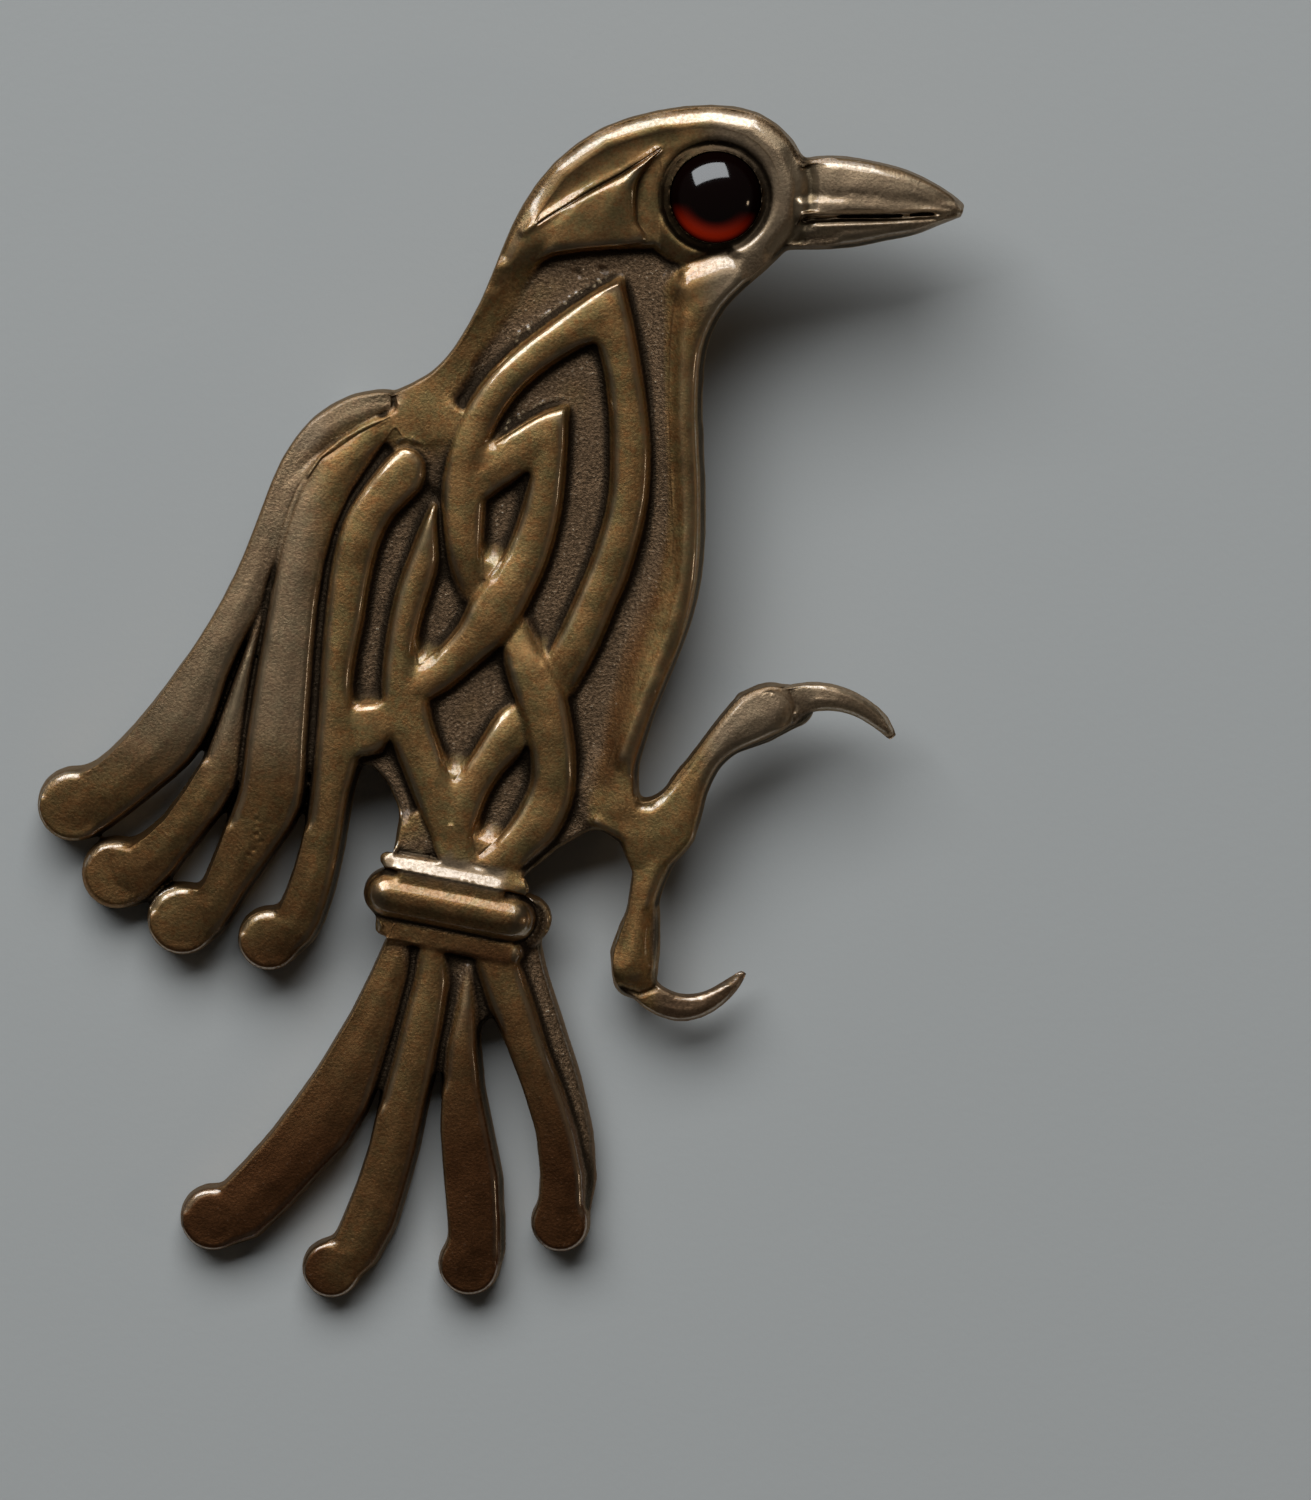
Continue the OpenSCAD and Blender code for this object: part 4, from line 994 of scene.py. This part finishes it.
def material(name):
    """A new material, as (material, its tree, its shader's inputs, the place on the piece)."""
    made = bpy.data.materials.new(name)
    made.use_nodes = True
    tree = made.node_tree
    place = add(tree, "ShaderNodeTexCoord").outputs["Object"]
    return made, tree, tree.nodes["Principled BSDF"].inputs, place


def bumped(tree, height, strength, distance):
    inputs = {"Height": height, "Strength": strength, "Distance": distance}
    return add(tree, "ShaderNodeBump", inputs).outputs["Normal"]


def finish_with(tree, shader, looks):
    """Feeds the shader's inputs by their names."""
    for name, value in looks.items():
        feed(tree, shader[name], value)


def give(piece, made):
    piece.data.materials.clear()
    piece.data.materials.append(made)

# %% Shared effect: grain
VALUE, VECTOR = "NodeSocketFloat", "NodeSocketVector"
PATCH_SHARE = 0.12

grain, g_in, g_out = group(
    "Surface grain",
    [("Place", VECTOR, None), ("Size", VALUE, 1.0), ("Roundness", VALUE, 0.5)],
    [("Height", VALUE), ("Patches", VALUE)],
)
fine = noise(grain, g_in["Place"], g_in["Size"], detail=4.0, roughness=g_in["Roundness"])
broad = noise(grain, g_in["Place"], times(grain, g_in["Size"], PATCH_SHARE), detail=3.0, roughness=0.55)
feed(grain, g_out["Height"], fine)
feed(grain, g_out["Patches"], broad)

# %% [markdown]
# ## Aged bronze
# Bronze that was patinated and then worn is brown with olive and rusty stains, nearly black in its crevices and
# golden where it is rubbed. The colours are mixed in that order, so that each layer covers the one before it as
# on the metal. The black of the crevices is partly painted shade and the gold of the crests partly painted
# highlight; the steep sides also carry painted shade, and the hollows painted glints. A thin coat on the polished
# places stands for wax and handling, and gives them their white shine.

# %% Colours of the bronze, some of them painted shade, highlight and glints
RAISED = (0.50, 0.275, 0.104, 1)
OLIVE = (0.37, 0.255, 0.100, 1)
RUST = (0.44, 0.185, 0.060, 1)
# Also used as painted highlight on the cross band's lip.
PALE_AND_HIGHLIGHT = (0.53, 0.385, 0.25, 1)
# Also painted shade on the foot below the cross band's roll.
RUDDY_AND_SHADE = (0.17, 0.068, 0.025, 1)
HOLLOW = (0.25, 0.155, 0.086, 1)
# Dark of the casting's pits, and painted shade in crevices, chased grooves and the stone's seat.
DARK_PIT_AND_SHADE = (0.030, 0.020, 0.012, 1)
# Lightens the crests: partly wear, partly painted highlight.
RUBBED_AND_HIGHLIGHT = (0.80, 0.60, 0.36, 1)
# Painted shade on the steep sides.
STEEP_SIDE_SHADE = (0.20, 0.115, 0.05, 1)
# Painted glints in the grain of the hollows.
PAINTED_GLINT = (0.90, 0.78, 0.58, 1)

# %% Aged bronze: its colour, with painted shade and highlight in it
bronze, tree, shader, place = material("aged bronze")
skin = placed(tree, grain, {"Place": place, "Size": 7000.0, "Roundness": 0.65})
hollow, patina_and_shade, crest, wall, pale_and_lip_highlight, ruddy_and_foot_shade, polished, roll = (
    add(tree, "ShaderNodeAttribute", attribute_name=name).outputs["Fac"]
    for name in ("hollow", "patina_and_shade", "crest", "wall", "pale_and_lip_highlight", "ruddy_and_foot_shade", "polished", "roll")
)
blotches = noise(tree, place, scale=700.0, detail=7.0, roughness=0.75)
stains = noise(tree, place, scale=2400.0, detail=4.0, roughness=0.7)
colour = mixed(tree, ramp(tree, blotches, 0.40, 0.60), RAISED, OLIVE)
colour = mixed(tree, times(tree, ramp(tree, stains, 0.45, 0.68), 0.65), colour, RUST)
# Paler metal, and painted highlight on the lip.
colour = mixed(tree, times(tree, pale_and_lip_highlight, 0.85), colour, PALE_AND_HIGHLIGHT)
# Darker and redder places, and painted shade on the foot below the roll.
colour = mixed(tree, ruddy_and_foot_shade, colour, RUDDY_AND_SHADE)
colour = mixed(tree, ramp(tree, hollow, 0.15, 0.8), colour, HOLLOW)
pits = line(tree, ramp(tree, skin["Height"], 0.36, 0.60), -1.0, 1.0)
colour = mixed(tree, times(tree, pits, line(tree, hollow, 0.35, 0.3)), colour, DARK_PIT_AND_SHADE)
# Painted glints: bright specks of grain, most of them in the hollows.
glint_specks = ramp(tree, skin["Height"], 0.62, 0.72)
colour = mixed(tree, times(tree, glint_specks, line(tree, hollow, 0.6, 0.1)), colour, PAINTED_GLINT)
# Painted shade on the steep sides.
colour = mixed(tree, times(tree, wall, 0.8), colour, STEEP_SIDE_SHADE)
# Near black in crevices, grooves and the stone's seat: partly patina, the rest painted shade.
colour = mixed(tree, times(tree, ramp(tree, patina_and_shade, 0.15, 0.95), 0.92), colour, DARK_PIT_AND_SHADE)
# Crests lightened towards gold: partly wear, partly painted highlight.
colour = mixed(tree, times(tree, ramp(tree, crest, 0.4, 1.4), 0.5), colour, RUBBED_AND_HIGHLIGHT)

# %% Aged bronze: how rough and how glossy it is
sharp_crest = ramp(tree, crest, 0.35, 0.9)
rough = line(tree, skin["Patches"], 0.25, 0.38)
rough = line(tree, sharp_crest, -0.08, rough)
rough = line(tree, polished, -0.04, rough)
rough = line(tree, roll, -0.06, rough)
rubbed_off = maths(tree, "MAXIMUM", times(tree, polished, 0.65), sharp_crest)
gloss = line(tree, rubbed_off, 0.85, 0.12)
gloss = times(tree, gloss, line(tree, ramp(tree, skin["Height"], 0.38, 0.58), 0.6, 0.4))
gloss = times(tree, gloss, maths(tree, "SUBTRACT", 1.0, ramp(tree, patina_and_shade, 0.2, 0.7)))
rubbed = maths(tree, "MAXIMUM", polished, sharp_crest)
grain_height = times(tree, skin["Height"], line(tree, rubbed, -0.3, line(tree, hollow, 1.5, 0.5)))
finish_with(tree, shader, {
    "Base Color": colour,
    "Roughness": rough,
    "Metallic": line(tree, hollow, -0.1, 1.0),
    "Specular Tint": (0.95, 0.88, 0.75, 1),
    "Coat Weight": gloss,
    "Coat Roughness": 0.11,
    "Coat IOR": 2.5,
    "Normal": bumped(tree, grain_height, strength=0.5, distance=0.0001),
})
give(casting, bronze)

# %% [markdown]
# ## Garnet
# Light enters the stone at the top, crosses it and lights the far rim from inside, so the lower rim glows red
# while the middle stays black. Real refraction in so small a stone needs many samples, so the glow is painted: a
# crescent by the place on the stone, in the stone's own coordinates.

# %% Garnet: where it glows
DOME_MIDDLE = 0.8

garnet_red, tree, shader, place = material("garnet")
eye_on_floor = laid_down(np.array([[*EYE, EYE_FOOT + DOME_MIDDLE]]))[0]


def vector_maths(operation, inputs):
    return add(tree, "ShaderNodeVectorMath", inputs, operation=operation).outputs


from_middle = vector_maths("SUBTRACT", {0: place, 1: tuple(eye_on_floor)})[0]
in_mm = vector_maths("SCALE", {0: from_middle, "Scale": 1 / MM})[0]
flat = vector_maths("MULTIPLY", {0: in_mm, 1: (1, 1, 0)})[0]
radius = vector_maths("LENGTH", {0: flat})["Value"]
split = add(tree, "ShaderNodeSeparateXYZ", {0: in_mm}).outputs
downwards = line(tree, split["Y"], -1.0, times(tree, split["X"], -0.12))
towards_low = maths(tree, "DIVIDE", downwards, EYE_R)
glow = times(tree, ramp(tree, radius, 1.1, 1.75), ramp(tree, towards_low, 0.2, 1.0))
glow = times(tree, glow, maths(tree, "SUBTRACT", 1.0, ramp(tree, radius, 1.85, 2.15)))

# %% Garnet: its looks
DEEP, LIT = (0.004, 0.0010, 0.0008, 1), (0.45, 0.022, 0.005, 1)
NO_LIGHT, INNER_LIGHT = (0, 0, 0, 1), (0.24, 0.012, 0.002, 1)

near_rim = ramp(tree, radius, 1.6, 1.8)
finish_with(tree, shader, {
    "Base Color": mixed(tree, glow, DEEP, LIT),
    "Emission Color": mixed(tree, glow, NO_LIGHT, INNER_LIGHT),
    "Emission Strength": 0.35,
    "Roughness": line(tree, near_rim, 0.5, 0.05),
    "Coat Weight": maths(tree, "SUBTRACT", 1.0, near_rim),
    "Coat Roughness": 0.08,
    "Coat IOR": 1.76,
    "Specular IOR Level": 0.0,
})
give(garnet, garnet_red)

# %% [markdown]
# ## Steel
# The pin and its catch are drawn steel, dull from handling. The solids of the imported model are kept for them, so
# only a material is added: two greys in soft patches, and a grain that shows in the roughness.

# %% Steel of the pin
DULL, BRIGHT = (0.36, 0.34, 0.30, 1), (0.55, 0.53, 0.49, 1)

steel, tree, shader, place = material("pin steel")
skin = placed(tree, grain, {"Place": place, "Size": 5200.0, "Roundness": 0.5})
finish_with(tree, shader, {
    "Base Color": mixed(tree, ramp(tree, skin["Patches"], 0.35, 0.65), DULL, BRIGHT),
    "Roughness": line(tree, skin["Patches"], 0.25, 0.22),
    "Metallic": 1.0,
})
give(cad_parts["pin_back"], steel)

# %% [markdown]
# ## Floor, light and camera
# The brooch lies on a plain pale floor and is seen straight from above. One broad soft light stands beyond the
# crown like a window, because the crescents on the metal face that way, and a weak warm lamp fills the other side.

# %% The floor
FLOOR_HALF = 0.6
PALE_GREY = (0.575, 0.583, 0.572, 1)

mesh = bpy.data.meshes.new("paper")
corners = [(-1, -1), (1, -1), (1, 1), (-1, 1)]
mesh.from_pydata([(x * FLOOR_HALF, y * FLOOR_HALF, 0) for x, y in corners], [], [(0, 1, 2, 3)])
floor = new_piece("paper", mesh)
paper, tree, shader, place = material("pale paper")
skin = placed(tree, grain, {"Place": place, "Size": 2600.0, "Roundness": 0.6})
finish_with(tree, shader, {
    "Base Color": PALE_GREY,
    "Roughness": 0.9,
    "Normal": bumped(tree, skin["Height"], strength=0.15, distance=0.00005),
})
give(floor, paper)

# %% Lights
def softbox(name, azimuth, elevation, distance, width, height, power, colour):
    """An area light that faces the brooch from this direction."""
    light = bpy.data.lights.new(name, "AREA")
    light.shape = "RECTANGLE"
    light.size, light.size_y = width, height
    light.energy = power
    light.color = colour
    lamp = bpy.data.objects.new(name, light)
    bpy.context.scene.collection.objects.link(lamp)
    around, up = math.radians(azimuth), math.radians(elevation)
    way = Vector((math.cos(up) * math.cos(around), math.cos(up) * math.sin(around), math.sin(up)))
    lamp.location = way * distance
    lamp.rotation_euler = way.to_track_quat("Z", "Y").to_euler()


DAYLIGHT, LAMPLIGHT, DIM = (0.93, 0.97, 1.0), (1.0, 0.74, 0.48), (0.30, 0.29, 0.27, 1)
softbox("window", 105, 46, distance=0.8, width=0.85, height=0.56, power=5.7, colour=DAYLIGHT)
softbox("lamp", -12, 28, distance=0.9, width=0.09, height=0.09, power=0.12, colour=LAMPLIGHT)
world = bpy.data.worlds.new("room")
bpy.context.scene.world = world
world.use_nodes = True
room = world.node_tree.nodes["Background"].inputs
room["Color"].default_value = DIM
room["Strength"].default_value = 0.06

# %% The camera
PHOTO_WIDTH, PHOTO_HEIGHT = 1311, 1500
PIXELS_PER_MM = 21.35
DRAWING_ZERO = (501.0, 704.0)
SUBJECT_HEIGHT = 4.2
CAMERA_HEIGHT = 420.0
SENSOR = 36.0

camera_data = bpy.data.cameras.new("camera")
camera_data.sensor_fit = "VERTICAL"
camera_data.sensor_height = SENSOR
camera_data.lens = SENSOR * PIXELS_PER_MM * (CAMERA_HEIGHT - SUBJECT_HEIGHT) / PHOTO_HEIGHT
camera_data.clip_start = 0.01
camera = bpy.data.objects.new("camera", camera_data)
bpy.context.scene.collection.objects.link(camera)
camera.location = (
    ((PHOTO_WIDTH / 2 - DRAWING_ZERO[0]) / PIXELS_PER_MM - FOOT_CENTRE[0]) * MM,
    ((DRAWING_ZERO[1] - PHOTO_HEIGHT / 2) / PIXELS_PER_MM - FOOT_CENTRE[1]) * MM,
    CAMERA_HEIGHT * MM,
)
bpy.context.scene.camera = camera
bpy.context.scene.view_settings.view_transform = "Standard"
print("lens:", round(camera_data.lens, 1), "mm")
